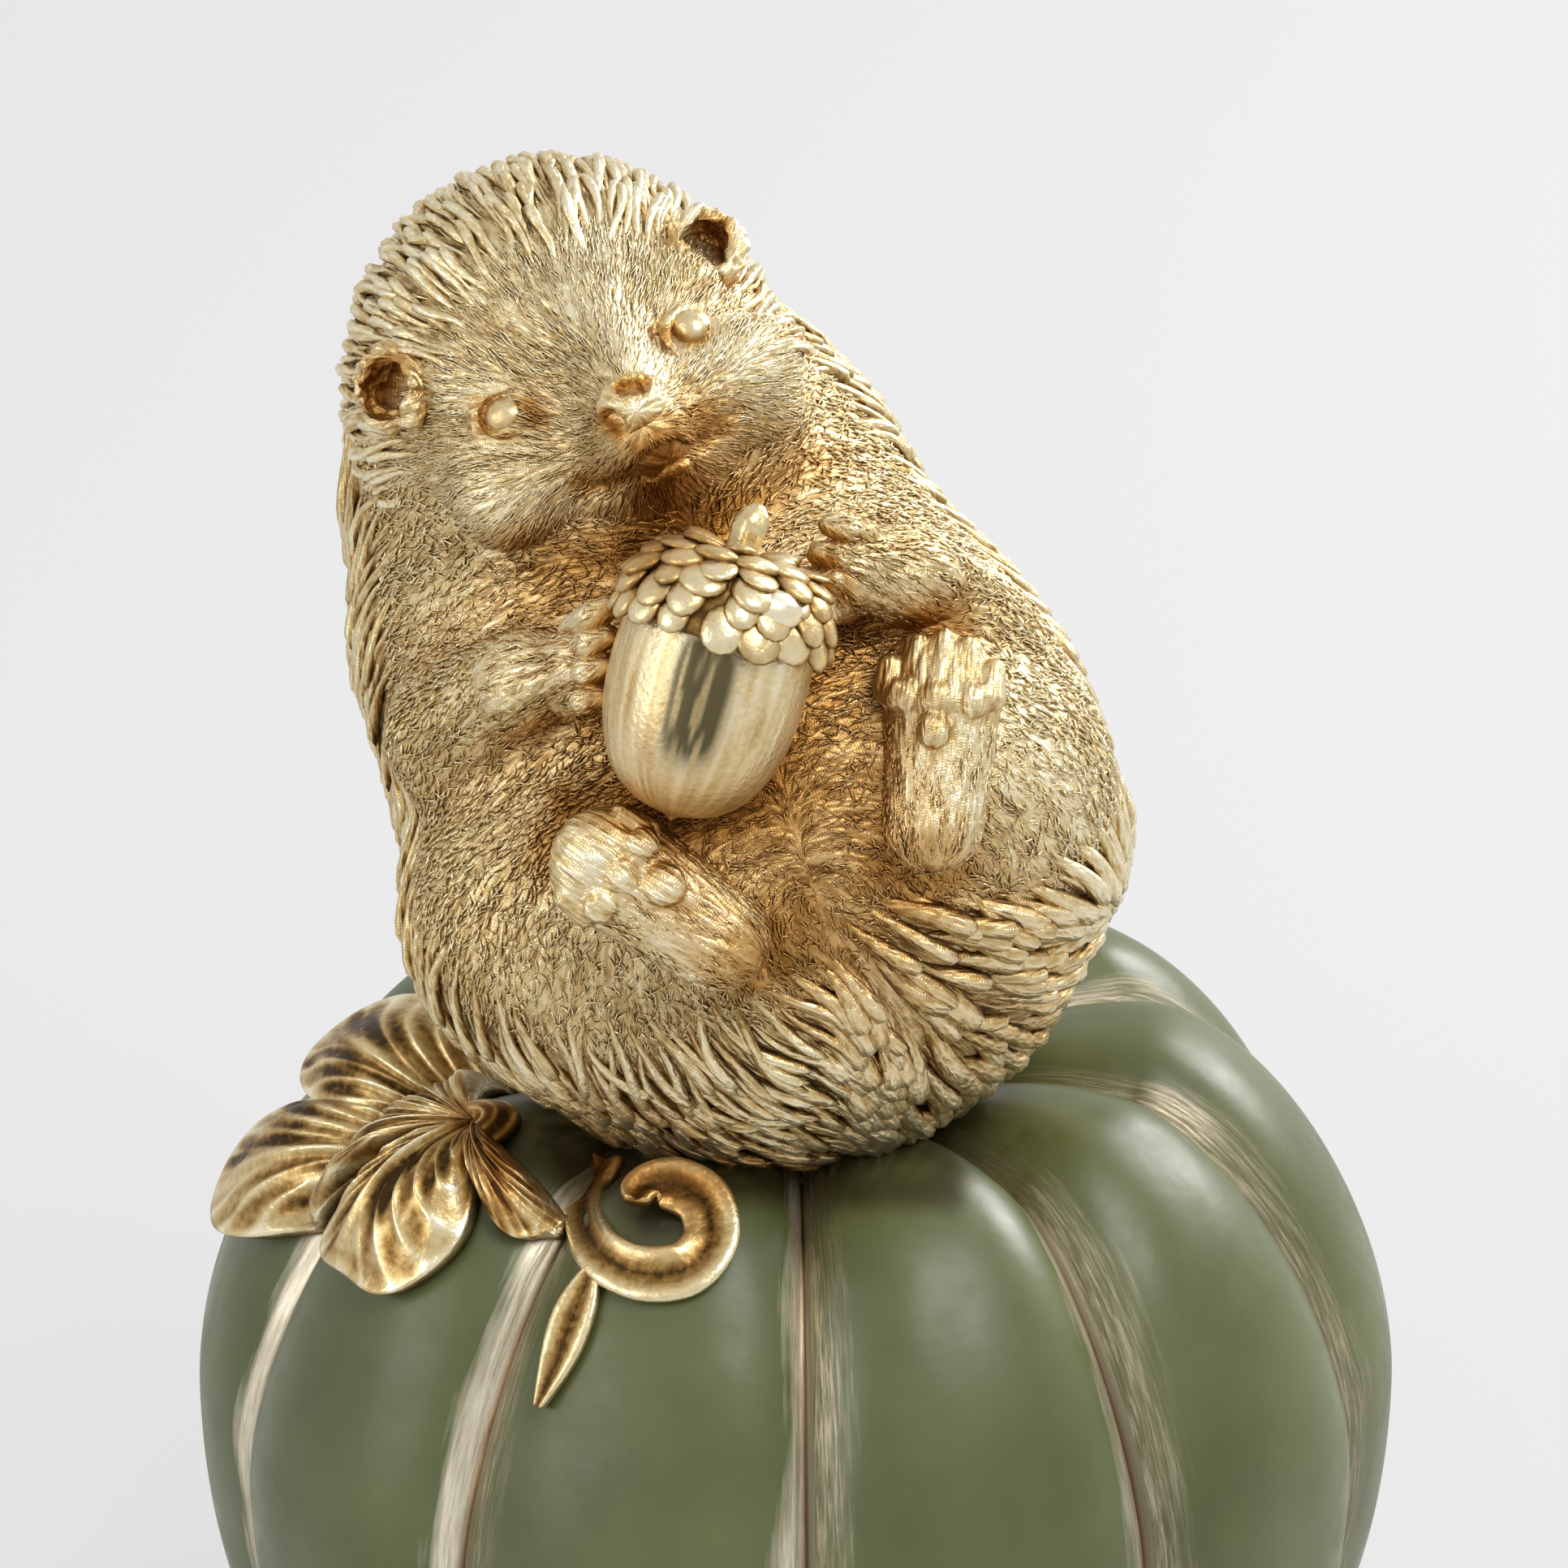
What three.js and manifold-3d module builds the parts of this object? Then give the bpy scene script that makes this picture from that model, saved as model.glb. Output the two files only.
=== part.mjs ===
// Hedgehog ornament: a resin hedgehog leans back on a ribbed pumpkin and hugs an acorn.
// Millimetres, +Z up, the viewer stands at -Y. The origin is the middle of the underside.
import * as THREE from 'three';
import { mergeVertices } from 'three/addons/utils/BufferGeometryUtils.js';
import Module from 'manifold-3d';

const wasm = await Module();
wasm.setup();

// Gaps between castings
const seatGap = 0.3;

// Underside
const feltDiameter = 78;
const feltThickness = 1.5;
const plateDiameter = 72;
const plateThickness = 3;
const plateLedge = 4;

// Pumpkin
const pumpkinWidth = 134;
const pumpkinHeight = 90;
const equatorHeight = 47;
const footDiameter = 94;
const crownDiameter = 76;
const dipDepth = 8;
const ribCount = 10;
const grooveDepth = 4.6;
const crownGrooveDepth = 6.5;
const grooveTurn = 1;
const pumpkinWall = 6;
const flankFullness = 0.55;
const shoulderFullness = 0.43;

// Dowel that pins the hedgehog to the pumpkin
const dowelDiameter = 8;
const dowelLength = 38;
const dowelReach = 24;

// Hedgehog stance: centre of the rump over the pumpkin, and how far the figure leans back
const rumpRadius = 37;
const rumpDepth = 33;
const seatSink = -0.9;
const standLeft = 4.1;
const standForward = 10;
const recline = 25;

// Torso, measured from the centre of the rump
const chestRise = 21;
const chestShift = 11.5;
const chestBack = 3;
const chestWidth = 62;
const chestDepth = 50;
const chestHeight = 54;
const chestLean = 12;
const napeRise = 36;
const napeShift = 14.5;
const napeBack = 8;
const napeWidth = 57;
const napeDepth = 38;
const napeHeight = 42;
const bellyWidth = 34;
const bellyDepth = 18;
const haunchLength = 34;
const haunchThickness = 29;
const leftHaunchTurn = 35;
const torsoSoftness = 7;

// Head, tilted towards its right shoulder
const headRise = 45;
const headShift = 18.5;
const headWidth = 46;
const headDepth = 44;
const headHeight = 50;
const skullShift = 1.7;
const skullDrop = 0.4;
const headTilt = 24.5;
const faceShift = 2;
const muzzleLength = 14;
const muzzleWidth = 21;
const muzzleTipDiameter = 9.2;
const muzzleShift = 4;
const muzzleDrop = 9;
const cheekWidth = 19;
const cheekSize = 15.5;
const cheekSpacing = 20;
const chinWidth = 15;
const chinHeight = 11;
const headSoftness = 6;
const eyeDiameter = 5;
const eyeSpacing = 22;
const noseWidth = 6;
const noseHeight = 4.6;
const noseDepth = 4.4;
const earDiameter = 8.4;
const earThickness = 1.5;
const earSpacing = 35.5;
const earShift = 0.3;
const earRise = 8;

// Quills, cast as rows of overlapping ridged blades that part at the hairline and run to the back
const headQuillCount = 30;
const headQuillRows = 8;
const headHairline = 60;
const bodyQuillCount = 32;
const bodyQuillRows = 9;
const bodyHairline = 62;
const quillRise = 2;
const quillValley = 0.5;
const quillDroop = 0.5;
const quillZigzag = 0.3;
const quillRoot = 1.2;
const coatEnd = 168;

// Acorn
const nutDiameter = 20.6;
const nutLength = 21;
const capDiameter = 23.4;
const capHeight = 8.2;
const capRecess = 3;
const capScaleRows = 7;
const capScalesAround = 10;
const capScaleRelief = 0.7;
const stemDiameter = 3.4;
const stemLength = 4.6;
const acornTilt = 15;
const acornPitch = 5;
const acornRise = 19.4;
const acornShift = 3.6;

// Limbs
const forelegDiameter = 11;
const fingerDiameter = 3.2;
const fingerLength = 6.5;
const footLength = 25;
const footWidth = 12.5;
const footThickness = 9;
const toeDiameter = 4.6;
const footPadDiameter = 5;

// Leaf and tendril
const leafLength = 37.5;
const leafRootAcross = 0.81;
const leafRootDrop = 0.907;
const leafTipAzimuth = -179;
const leafTipElevation = 19.2;
const leafThickness = 1.6;
const leafArch = 3;
const leafTipLift = 2.2;
const leafHeart = 4;
const veinHeight = 0.6;
const veinSpread = 6;
const tendrilWidth = 4.2;
const tendrilThickness = 2;
const channelDepth = 0.5;

const radians = THREE.MathUtils.degToRad;
const vec = (x, y, z) => new THREE.Vector3(x, y, z);

// Materials
const gold = new THREE.MeshStandardMaterial({ color: 0xc8a56e, roughness: 0.32, metalness: 0.9 });
const brightGold = new THREE.MeshStandardMaterial({ color: 0xd6b884, roughness: 0.2, metalness: 0.95 });
const greenPaint = new THREE.MeshStandardMaterial({ color: 0x788658, roughness: 0.45, metalness: 0.1 });
const rawResin = new THREE.MeshStandardMaterial({ color: 0xd8d2c4, roughness: 0.7, metalness: 0 });
const feltCloth = new THREE.MeshStandardMaterial({ color: 0x3f4a35, roughness: 0.95, metalness: 0 });
const dowelWood = new THREE.MeshStandardMaterial({ color: 0xc9a673, roughness: 0.75, metalness: 0 });

// Solids in and out of the boolean library
function solid(geometry) {
  const bare = geometry.clone();
  bare.deleteAttribute('normal');
  bare.deleteAttribute('uv');
  const merged = mergeVertices(bare, 1e-5);
  return new wasm.Manifold(new wasm.Mesh({
    numProp: 3,
    vertProperties: new Float32Array(merged.attributes.position.array),
    triVerts: new Uint32Array(merged.index.array),
  }));
}

function geometryOf(manifold) {
  const mesh = manifold.getMesh();
  const geometry = new THREE.BufferGeometry();
  geometry.setAttribute('position', new THREE.BufferAttribute(mesh.vertProperties, 3));
  geometry.setIndex(new THREE.BufferAttribute(mesh.triVerts, 1));
  geometry.computeVertexNormals();
  return geometry;
}

const joined = (pieces) => pieces.reduce((sum, piece) => sum.add(piece));
const placed = (manifold, matrix) => manifold.transform(matrix.elements);

// Rings of points joined into one closed skin, with a fan over each end
function loft(rings) {
  const points = rings.flat();
  const around = rings[0].length;
  const faces = [];
  for (let ring = 0; ring + 1 < rings.length; ring += 1) {
    for (let side = 0; side < around; side += 1) {
      const a = ring * around + side;
      const b = ring * around + (side + 1) % around;
      faces.push(a, b, b + around, a, b + around, a + around);
    }
  }
  for (const [ring, flip] of [[0, true], [rings.length - 1, false]]) {
    if (around === 3) {
      const corners = [0, 1, 2].map((side) => ring * around + side);
      faces.push(...(flip ? corners.reverse() : corners));
      continue;
    }
    const middle = vec(0, 0, 0);
    for (const point of rings[ring]) middle.addScaledVector(point, 1 / around);
    points.push(middle);
    for (let side = 0; side < around; side += 1) {
      const a = ring * around + side;
      const b = ring * around + (side + 1) % around;
      faces.push(...(flip ? [b, a] : [a, b]), points.length - 1);
    }
  }
  const geometry = new THREE.BufferGeometry().setFromPoints(points);
  geometry.setIndex(faces);
  return geometry;
}

// Blended ellipsoids: the distance from a point to their common skin
function lobe(at, size, turn = new THREE.Quaternion()) {
  const radii = size.clone().multiplyScalar(0.5);
  const back = turn.clone().invert();
  return (point) => {
    const local = point.clone().sub(at).applyQuaternion(back).divide(radii);
    const near = local.length();
    const slope = local.clone().divide(radii).length();
    return slope < 1e-9 ? -Math.min(radii.x, radii.y, radii.z) : near * (near - 1) / slope;
  };
}

function limb(from, to, startRadius, endRadius) {
  const span = to.clone().sub(from);
  return (point) => {
    const along = THREE.MathUtils.clamp(point.clone().sub(from).dot(span) / span.lengthSq(), 0, 1);
    const nearest = from.clone().addScaledVector(span, along);
    return point.distanceTo(nearest) - THREE.MathUtils.lerp(startRadius, endRadius, along);
  };
}

function blend(parts, softness) {
  return (point) => parts.map((part) => part(point)).reduce((a, b) => {
    const overlap = Math.max(softness - Math.abs(a - b), 0) / softness;
    return Math.min(a, b) - overlap * overlap * softness / 4;
  });
}

// The outermost point of a form along a ray, by halving the last step
function skinPoint(form, centre, direction, grow = 0) {
  const reach = 90;
  const stride = 1.5;
  let outside = reach;
  while (outside > 0 && form(centre.clone().addScaledVector(direction, outside)) > grow) outside -= stride;
  let inside = Math.max(outside, 0);
  outside = inside + stride;
  for (let halving = 0; halving < 14; halving += 1) {
    const middle = (inside + outside) / 2;
    if (form(centre.clone().addScaledVector(direction, middle)) > grow) outside = middle;
    else inside = middle;
  }
  return centre.clone().addScaledVector(direction, (inside + outside) / 2);
}

function skinNormal(form, point) {
  const step = 0.2;
  const slope = (axis) => form(point.clone().add(axis)) - form(point.clone().sub(axis));
  return vec(slope(vec(step, 0, 0)), slope(vec(0, step, 0)), slope(vec(0, 0, step))).normalize();
}

// A sphere whose points are pushed out to the skin of a form
function sculpt(form, centre, around, rings, grow = 0) {
  const geometry = new THREE.SphereGeometry(1, around, rings);
  const spots = geometry.attributes.position;
  for (let index = 0; index < spots.count; index += 1) {
    const direction = vec(0, 0, 0).fromBufferAttribute(spots, index).normalize();
    const point = skinPoint(form, centre, direction, grow);
    spots.setXYZ(index, point.x, point.y, point.z);
  }
  return solid(geometry);
}

// Rings to a solid, whichever way round they were given
function skinned(rings) {
  const built = solid(loft(rings));
  return built.volume() < 0 ? solid(loft([...rings].reverse())) : built;
}

// Pumpkin: one profile from the foot over the crown into the dip, drawn in by the grooves
const standHeight = feltThickness + seatGap;

function pumpkinProfile(inset = 0) {
  const foot = new THREE.Vector2(footDiameter / 2 - inset, standHeight + inset);
  const side = new THREE.Vector2(pumpkinWidth / 2 - inset, equatorHeight);
  const crown = new THREE.Vector2(crownDiameter / 2, pumpkinHeight - inset);
  const dip = new THREE.Vector2(0, pumpkinHeight - dipDepth - inset);
  const quarter = (from, corner, to, fullness) => new THREE.CubicBezierCurve(
    from, from.clone().lerp(corner, fullness), to.clone().lerp(corner, fullness), to);
  const flank = quarter(foot, new THREE.Vector2(side.x, foot.y), side, flankFullness);
  const shoulder = quarter(side, new THREE.Vector2(side.x, crown.y), crown, shoulderFullness);
  const hollow = new THREE.CubicBezierCurve(
    crown, new THREE.Vector2(crown.x * 0.6, crown.y), new THREE.Vector2(crown.x * 0.4, dip.y), dip);
  return [flank, shoulder, hollow];
}

function profileStations(steps, inset = 0) {
  const stations = [];
  pumpkinProfile(inset).forEach((curve, part) => {
    const last = part === steps.length - 1;
    for (let step = 0; step < steps[part] + (last ? 1 : 0); step += 1) {
      const along = step / steps[part];
      const spot = curve.getPoint(along);
      const heading = curve.getTangent(along);
      const footFade = Math.min(1, along / 0.35);
      const depths = [
        grooveDepth * footFade,
        THREE.MathUtils.lerp(grooveDepth, crownGrooveDepth, along),
        crownGrooveDepth * (1 - along) ** 1.5,
      ];
      stations.push({ spot, out: new THREE.Vector2(heading.y, -heading.x), depth: depths[part] });
    }
  });
  return stations;
}

// 0 along the middle of a rib, 1 in a groove
function ribPhase(angle) {
  const pitch = 2 * Math.PI / ribCount;
  const fromGroove = (angle + Math.PI / 2 - radians(grooveTurn)) / pitch;
  return Math.abs((fromGroove - Math.floor(fromGroove)) * 2 - 1);
}

const grooveShape = (phase) => phase ** 2.4;
const fineStations = profileStations([16, 18, 14]);

// Distance to the ribbed skin, good near the skin
function pumpkinSkin(point) {
  const radius = Math.hypot(point.x, point.y);
  const fall = grooveShape(ribPhase(Math.atan2(point.y, point.x)));
  let best = Infinity;
  let signed = 0;
  for (let index = 0; index + 1 < fineStations.length; index += 1) {
    const here = fineStations[index];
    const next = fineStations[index + 1];
    const a = here.spot.clone().addScaledVector(here.out, -here.depth * fall);
    const b = next.spot.clone().addScaledVector(next.out, -next.depth * fall);
    const span = b.clone().sub(a);
    const from = new THREE.Vector2(radius, point.z).sub(a);
    const share = THREE.MathUtils.clamp(from.dot(span) / span.lengthSq(), 0, 1);
    const away = from.distanceTo(span.clone().multiplyScalar(share));
    if (away < best) {
      best = away;
      signed = span.x * from.y - span.y * from.x > 0 ? -away : away;
    }
  }
  return signed;
}

function ribbedBody(grow = 0) {
  const perRib = 6;
  const around = ribCount * perRib;
  const rings = profileStations([3, 6, 4]).slice(0, -1).map(({ spot, out, depth }) => {
    const ring = [];
    for (let side = 0; side < around; side += 1) {
      const angle = radians(grooveTurn) - Math.PI / 2 + 2 * Math.PI * side / around;
      const drawn = spot.clone().addScaledVector(out, grow - depth * grooveShape(ribPhase(angle)));
      ring.push(vec(drawn.x * Math.cos(angle), drawn.x * Math.sin(angle), drawn.y));
    }
    return ring;
  });
  return solid(loft(rings));
}

// The stance matrix takes the hedgehog's own frame to the pumpkin's
const seatHeight = pumpkinHeight - dipDepth + rumpRadius - seatSink;
const stance = new THREE.Matrix4().makeRotationX(-radians(recline));
stance.setPosition(-standLeft, -standForward, seatHeight);
const toHedgehog = stance.clone().invert();

// Torso
const rumpCentre = vec(0, 0, 0);
const turnY = (degrees) => new THREE.Quaternion().setFromAxisAngle(vec(0, 1, 0), radians(degrees));
const chestCentre = vec(-chestShift, chestBack, chestRise);
const onRump = (across, depth, up) => vec(across * rumpRadius, depth * rumpDepth, up * rumpRadius);
const onChest = (across, depth, up) => (
  vec(across * chestWidth, depth * chestDepth, up * chestHeight).add(chestCentre));
const haunchSize = vec(haunchThickness, haunchThickness, haunchLength);
const torsoForm = blend([
  lobe(rumpCentre, vec(2 * rumpRadius, 2 * rumpDepth, 2 * rumpRadius)),
  lobe(chestCentre, vec(chestWidth, chestDepth, chestHeight), turnY(-chestLean)),
  lobe(vec(-napeShift, napeBack, napeRise), vec(napeWidth, napeDepth, napeHeight)),
  lobe(onRump(0.08, bellyDepth * 0.7 / rumpDepth - 1, 0.11), vec(bellyWidth, bellyDepth, bellyWidth)),
  lobe(onRump(-0.54, -0.485, -0.35), haunchSize, turnY(leftHaunchTurn + 90)),
  lobe(onRump(0.62, -0.455, 0.03), haunchSize),
], torsoSoftness);

// Head: skull, muzzle, cheeks and chin, in the tilted frame of the face
const headCentre = vec(-headShift, -1, headRise);
const skullCentre = headCentre.clone().add(vec(-skullShift, 0, -skullDrop));
const faceTurn = turnY(-headTilt);
const face = (right, depth, up) => vec(right, depth, up).applyQuaternion(faceTurn).add(headCentre);
const muzzleTip = face(muzzleShift, (muzzleTipDiameter - headDepth) / 2 - muzzleLength, -muzzleDrop);
const muzzleRoot = face(faceShift, -0.27 * headDepth, -0.1 * headHeight);
const chinCentre = face(faceShift, -0.43 * headDepth, -0.26 * headHeight);
const cheek = (side) => lobe(
  face(faceShift + side * cheekSpacing / 2, -0.35 * headDepth, -0.14 * headHeight),
  vec(cheekWidth, cheekSize, cheekSize));
const headForm = blend([
  lobe(skullCentre, vec(headWidth, headDepth, headHeight), faceTurn),
  limb(muzzleRoot, muzzleTip, muzzleWidth / 2, muzzleTipDiameter / 2),
  cheek(-1),
  cheek(1),
  lobe(chinCentre, vec(chinWidth, chinWidth, chinHeight), faceTurn),
], headSoftness);

// A bare face or belly inside the hairline and rows of quills behind it. Each quill climbs from
// its root to a pointed tip that lies over the roots of the next row, half a quill to the side.
function quilledSkin(form, core, coat, grow = 0) {
  const rowStep = (coatEnd - coat.hairline) / coat.rows;
  const point = (column, tilt, height) => {
    const turn = Math.PI * column / coat.count;
    const swing = radians(tilt);
    const sag = quillDroop * (1 - Math.cos(swing)) / 2;
    const direction = vec(
      Math.sin(turn) * Math.sin(swing), -Math.cos(swing), Math.cos(turn) * Math.sin(swing) - sag);
    direction.normalize();
    return skinPoint(form, core, direction, grow).addScaledVector(direction, height);
  };
  const columns = Array.from({ length: 2 * coat.count }, (_, column) => column);
  const ring = (place) => columns.map((column) => point(column, ...place(column)));
  const bareRings = 6;
  const rings = [];
  for (let step = 1; step < bareRings; step += 1) {
    rings.push(ring(() => [coat.hairline * (step / bareRings) ** 1.25, 0]));
  }
  const onRidge = (column, row) => (column + row) % 2 === 0;
  const zigzag = (column, row) => (onRidge(column, row) ? quillZigzag : -quillZigzag) * rowStep;
  for (let row = 0; row < coat.rows; row += 1) {
    const start = coat.hairline + row * rowStep;
    rings.push(ring((column) => [
      start + quillRoot + (row ? zigzag(column, row - 1) : 0), onRidge(column, row) ? 0 : -quillValley]));
    rings.push(ring((column) => [
      start + rowStep + zigzag(column, row), onRidge(column, row) ? quillRise : 0]));
  }
  return skinned(rings);
}

const torsoCore = chestCentre.clone().multiplyScalar(0.43).setY(0);
const headCore = face(muzzleShift, 0, -muzzleDrop);
const torsoCoat = { count: bodyQuillCount, rows: bodyQuillRows, hairline: bodyHairline };
const headCoat = { count: headQuillCount, rows: headQuillRows, hairline: headHairline };
const torso = (grow = 0) => quilledSkin(torsoForm, torsoCore, torsoCoat, grow);
const head = (grow = 0) => quilledSkin(headForm, headCore, headCoat, grow);

// Solids turned about the z axis, from [radius, height] outlines
function turned(points, sides = 48) {
  const geometry = new THREE.LatheGeometry(points.map(([x, y]) => new THREE.Vector2(x, y)), sides);
  geometry.rotateX(Math.PI / 2);
  return solid(geometry);
}

function disc(diameter, bottom, top, sides = 48) {
  return turned([[0, bottom], [diameter / 2, bottom], [diameter / 2, top], [0, top]], sides);
}

function ball(centre, size, around = 10, rings = 7, turn = new THREE.Quaternion()) {
  const geometry = new THREE.SphereGeometry(0.5, around, rings);
  geometry.applyMatrix4(new THREE.Matrix4().compose(centre, turn, size));
  return solid(geometry);
}

// A bent, tapered tube with round sides, such as a finger or a stem
function tube(points, radii, sides = 8) {
  const path = new THREE.CatmullRomCurve3(points);
  const rings = radii.map((radius, index) => {
    const along = index / (radii.length - 1);
    const heading = path.getTangent(along);
    const side = new THREE.Vector3().crossVectors(heading, vec(0, 1, 0.01)).normalize();
    const up = new THREE.Vector3().crossVectors(side, heading);
    const centre = path.getPoint(along);
    return Array.from({ length: sides }, (_, corner) => {
      const angle = 2 * Math.PI * corner / sides;
      return centre.clone()
        .addScaledVector(side, radius * Math.cos(angle))
        .addScaledVector(up, radius * Math.sin(angle));
    });
  });
  return skinned(rings);
}

// Acorn, drawn on its own axis with the cap's rim at zero
const forward = vec(0, -1, 0);
const pitchX = new THREE.Quaternion().setFromAxisAngle(vec(1, 0, 0), radians(acornPitch));
const acornLean = turnY(acornTilt).multiply(pitchX);
const bellyBehindAcorn = skinPoint(torsoForm, vec(-acornShift - 2, 0, acornRise - nutLength / 2), forward);
const acornAt = vec(-acornShift, bellyBehindAcorn.y - nutDiameter / 2 + 1.5, acornRise);
const acornFrame = new THREE.Matrix4().compose(acornAt, acornLean, vec(1, 1, 1));

function nut(grow = 0) {
  const radius = nutDiameter / 2 + grow;
  const top = capRecess - seatGap;
  const shape = new THREE.CatmullRomCurve3([
    vec(0.01, 0, -nutLength - grow),
    vec(1.2, 0, 0.9 - nutLength - grow),
    vec(radius * 0.62, 0, -nutLength * 0.82),
    vec(radius * 0.93, 0, -nutLength * 0.5),
    vec(radius, 0, -nutLength * 0.2),
    vec(radius * 0.96, 0, top),
  ]);
  const outline = shape.getPoints(10).map((point) => [point.x, point.z]);
  outline[0][0] = 0;
  return placed(turned([...outline, [0, top]], 24), acornFrame);
}

// Scales of the cap: staggered rounded bumps in rows
function cap(grow = 0) {
  const around = 3 * capScalesAround;
  const inner = nutDiameter / 2 + (grow ? -1 : seatGap);
  const ringOf = (spot) => Array.from({ length: around }, (_, side) => {
    const angle = 2 * Math.PI * side / around;
    const [radius, height] = spot(angle);
    return vec(radius * Math.cos(angle), radius * Math.sin(angle), height);
  });
  const rings = [ringOf(() => [inner, capRecess]), ringOf(() => [inner, -grow])];
  for (let row = 0; row <= capScaleRows; row += 1) {
    const rise = (0.04 + 0.9 * row / capScaleRows) * Math.PI / 2;
    const stagger = Math.floor(row / 2) % 2 ? Math.PI / capScalesAround : 0;
    const lip = row ? 0 : 0.4 + grow;
    rings.push(ringOf((angle) => {
      const bulge = Math.abs(Math.cos((angle + stagger) * capScalesAround / 2));
      const relief = grow + capScaleRelief * (bulge * (row % 2 ? 1 : 0.3) - 1);
      const radius = (capDiameter / 2 + relief) * Math.cos(rise) ** 0.6;
      return [radius, (capHeight + relief) * Math.sin(rise) - lip];
    }));
  }
  return placed(skinned(rings), acornFrame);
}

function stem(grow = 0) {
  const root = capHeight - 1.2 - grow;
  const radius = stemDiameter / 2 + grow;
  const tip = root + stemLength + 1.2 + grow;
  const bend = [vec(0, 0, root), vec(0.2, 0, root + stemLength / 2), vec(0.9, 0, tip)];
  return placed(tube(bend, [radius * 1.5, radius, radius * 0.95, radius * 1.25], 10), acornFrame);
}

const nutShape = nut();
const stemGrown = stem(seatGap);
const capShape = cap().subtract(stemGrown);
const acornGrown = joined([nut(seatGap), cap(seatGap), stemGrown]);

// Eyes, nose and ears sit in sockets of the head
const onFace = (right, up) => skinPoint(headForm, face(right, 0, up), forward);
const round = (size) => vec(size, size, size);
const eyes = [-1, 1].map((side) => {
  const skin = onFace(faceShift + side * eyeSpacing / 2, 0);
  return skin.addScaledVector(skinNormal(headForm, skin), -eyeDiameter * 0.12);
});
const eyeBall = (at, grow = 0) => ball(at, round(eyeDiameter + 2 * grow));
const noseAt = onFace(muzzleShift + 0.3, 1.6 - muzzleDrop).add(vec(0, 0.8, 0));
const noseSize = vec(noseWidth, noseDepth, noseHeight);
const noseBall = (grow = 0) => ball(noseAt, noseSize.clone().addScalar(2 * grow), 10, 7, faceTurn);

function ear(side, grow = 0) {
  const radius = earDiameter / 2;
  const skin = onFace(side * earSpacing / 2 - earShift, earRise);
  const outward = vec(side * 0.55, -0.8, 0.25).applyQuaternion(faceTurn).normalize();
  const turn = new THREE.Quaternion().setFromUnitVectors(vec(0, 0, 1), outward);
  const thick = earThickness + 2 * grow;
  const bowl = turned([
    [0, -radius * 0.75 - grow], [radius * 0.7, -radius * 0.5 - grow], [radius + grow, radius * 0.1],
    [radius + grow, radius * 0.25 + grow], [radius - thick + grow, radius * 0.2 + grow],
    [radius * 0.45, -radius * 0.75 + thick], [0, -radius * 0.75 + thick + 0.2],
  ], 18);
  return placed(bowl, new THREE.Matrix4().compose(skin.addScaledVector(outward, 0.4), turn, vec(1, 1, 1)));
}

// Forelegs reach from the chest to the acorn
function foreleg(shoulder, wrist, paw, spread, grow = 0) {
  const thick = forelegDiameter / 2;
  const upper = limb(shoulder, wrist, thick, thick * 0.82);
  const lower = limb(wrist, paw, thick * 0.82, thick * 0.7);
  const form = blend([upper, lower], 3);
  const arm = sculpt(form, wrist.clone().lerp(shoulder, 0.3), 14, 10, grow);
  const reach = paw.clone().sub(wrist).normalize();
  const fingers = [-1.5, -0.5, 0.5, 1.5].map((place) => {
    const root = paw.clone().addScaledVector(spread, place * fingerDiameter * 0.8);
    const tip = root.clone().addScaledVector(reach, fingerLength).addScaledVector(spread, place * 0.4);
    const knuckle = root.clone().lerp(tip, 0.5).add(vec(0, -1.1, 0));
    const radius = fingerDiameter / 2 + grow;
    return tube([root, knuckle, tip], [radius * 0.9, radius, radius * 0.45], 6);
  });
  return joined([arm, ...fingers]);
}

// Hind feet show their soles: heel, ball, toes and one round pad
function hindFoot(heel, toe, toward, grow = 0) {
  const along = toe.clone().sub(heel).normalize();
  const across = new THREE.Vector3().crossVectors(along, toward).normalize();
  const middle = heel.clone().lerp(toe, 0.5);
  const turn = new THREE.Quaternion().setFromRotationMatrix(
    new THREE.Matrix4().makeBasis(across, toward, across.clone().cross(toward)));
  const sole = ball(middle, vec(footWidth, footThickness, footLength).addScalar(2 * grow), 14, 10, turn);
  const toes = [-1.5, -0.5, 0.5, 1.5].map((place) => {
    const at = middle.clone()
      .addScaledVector(along, footLength * (0.42 - 0.035 * place * place))
      .addScaledVector(across, place * footWidth * 0.24)
      .addScaledVector(toward, 1.2);
    return ball(at, round(toeDiameter + 2 * grow), 7, 5);
  });
  const pad = ball(middle.clone().addScaledVector(toward, footThickness / 2 - 0.5),
    vec(footPadDiameter, 2.6, footPadDiameter).addScalar(2 * grow), 10, 6, turn);
  return joined([sole, ...toes, pad]);
}

// A spot on the pumpkin straight behind a point of the figure's front view, which is given
// across and up in shares of the rump's radius
const onPumpkin = ([across, up]) => {
  const start = vec(across, 1.6, up).multiplyScalar(rumpRadius).applyMatrix4(stance);
  const heading = vec(0, -1, 0).transformDirection(stance);
  return skinPoint(pumpkinSkin, start, heading, seatGap + tendrilThickness / 2);
};

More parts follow.
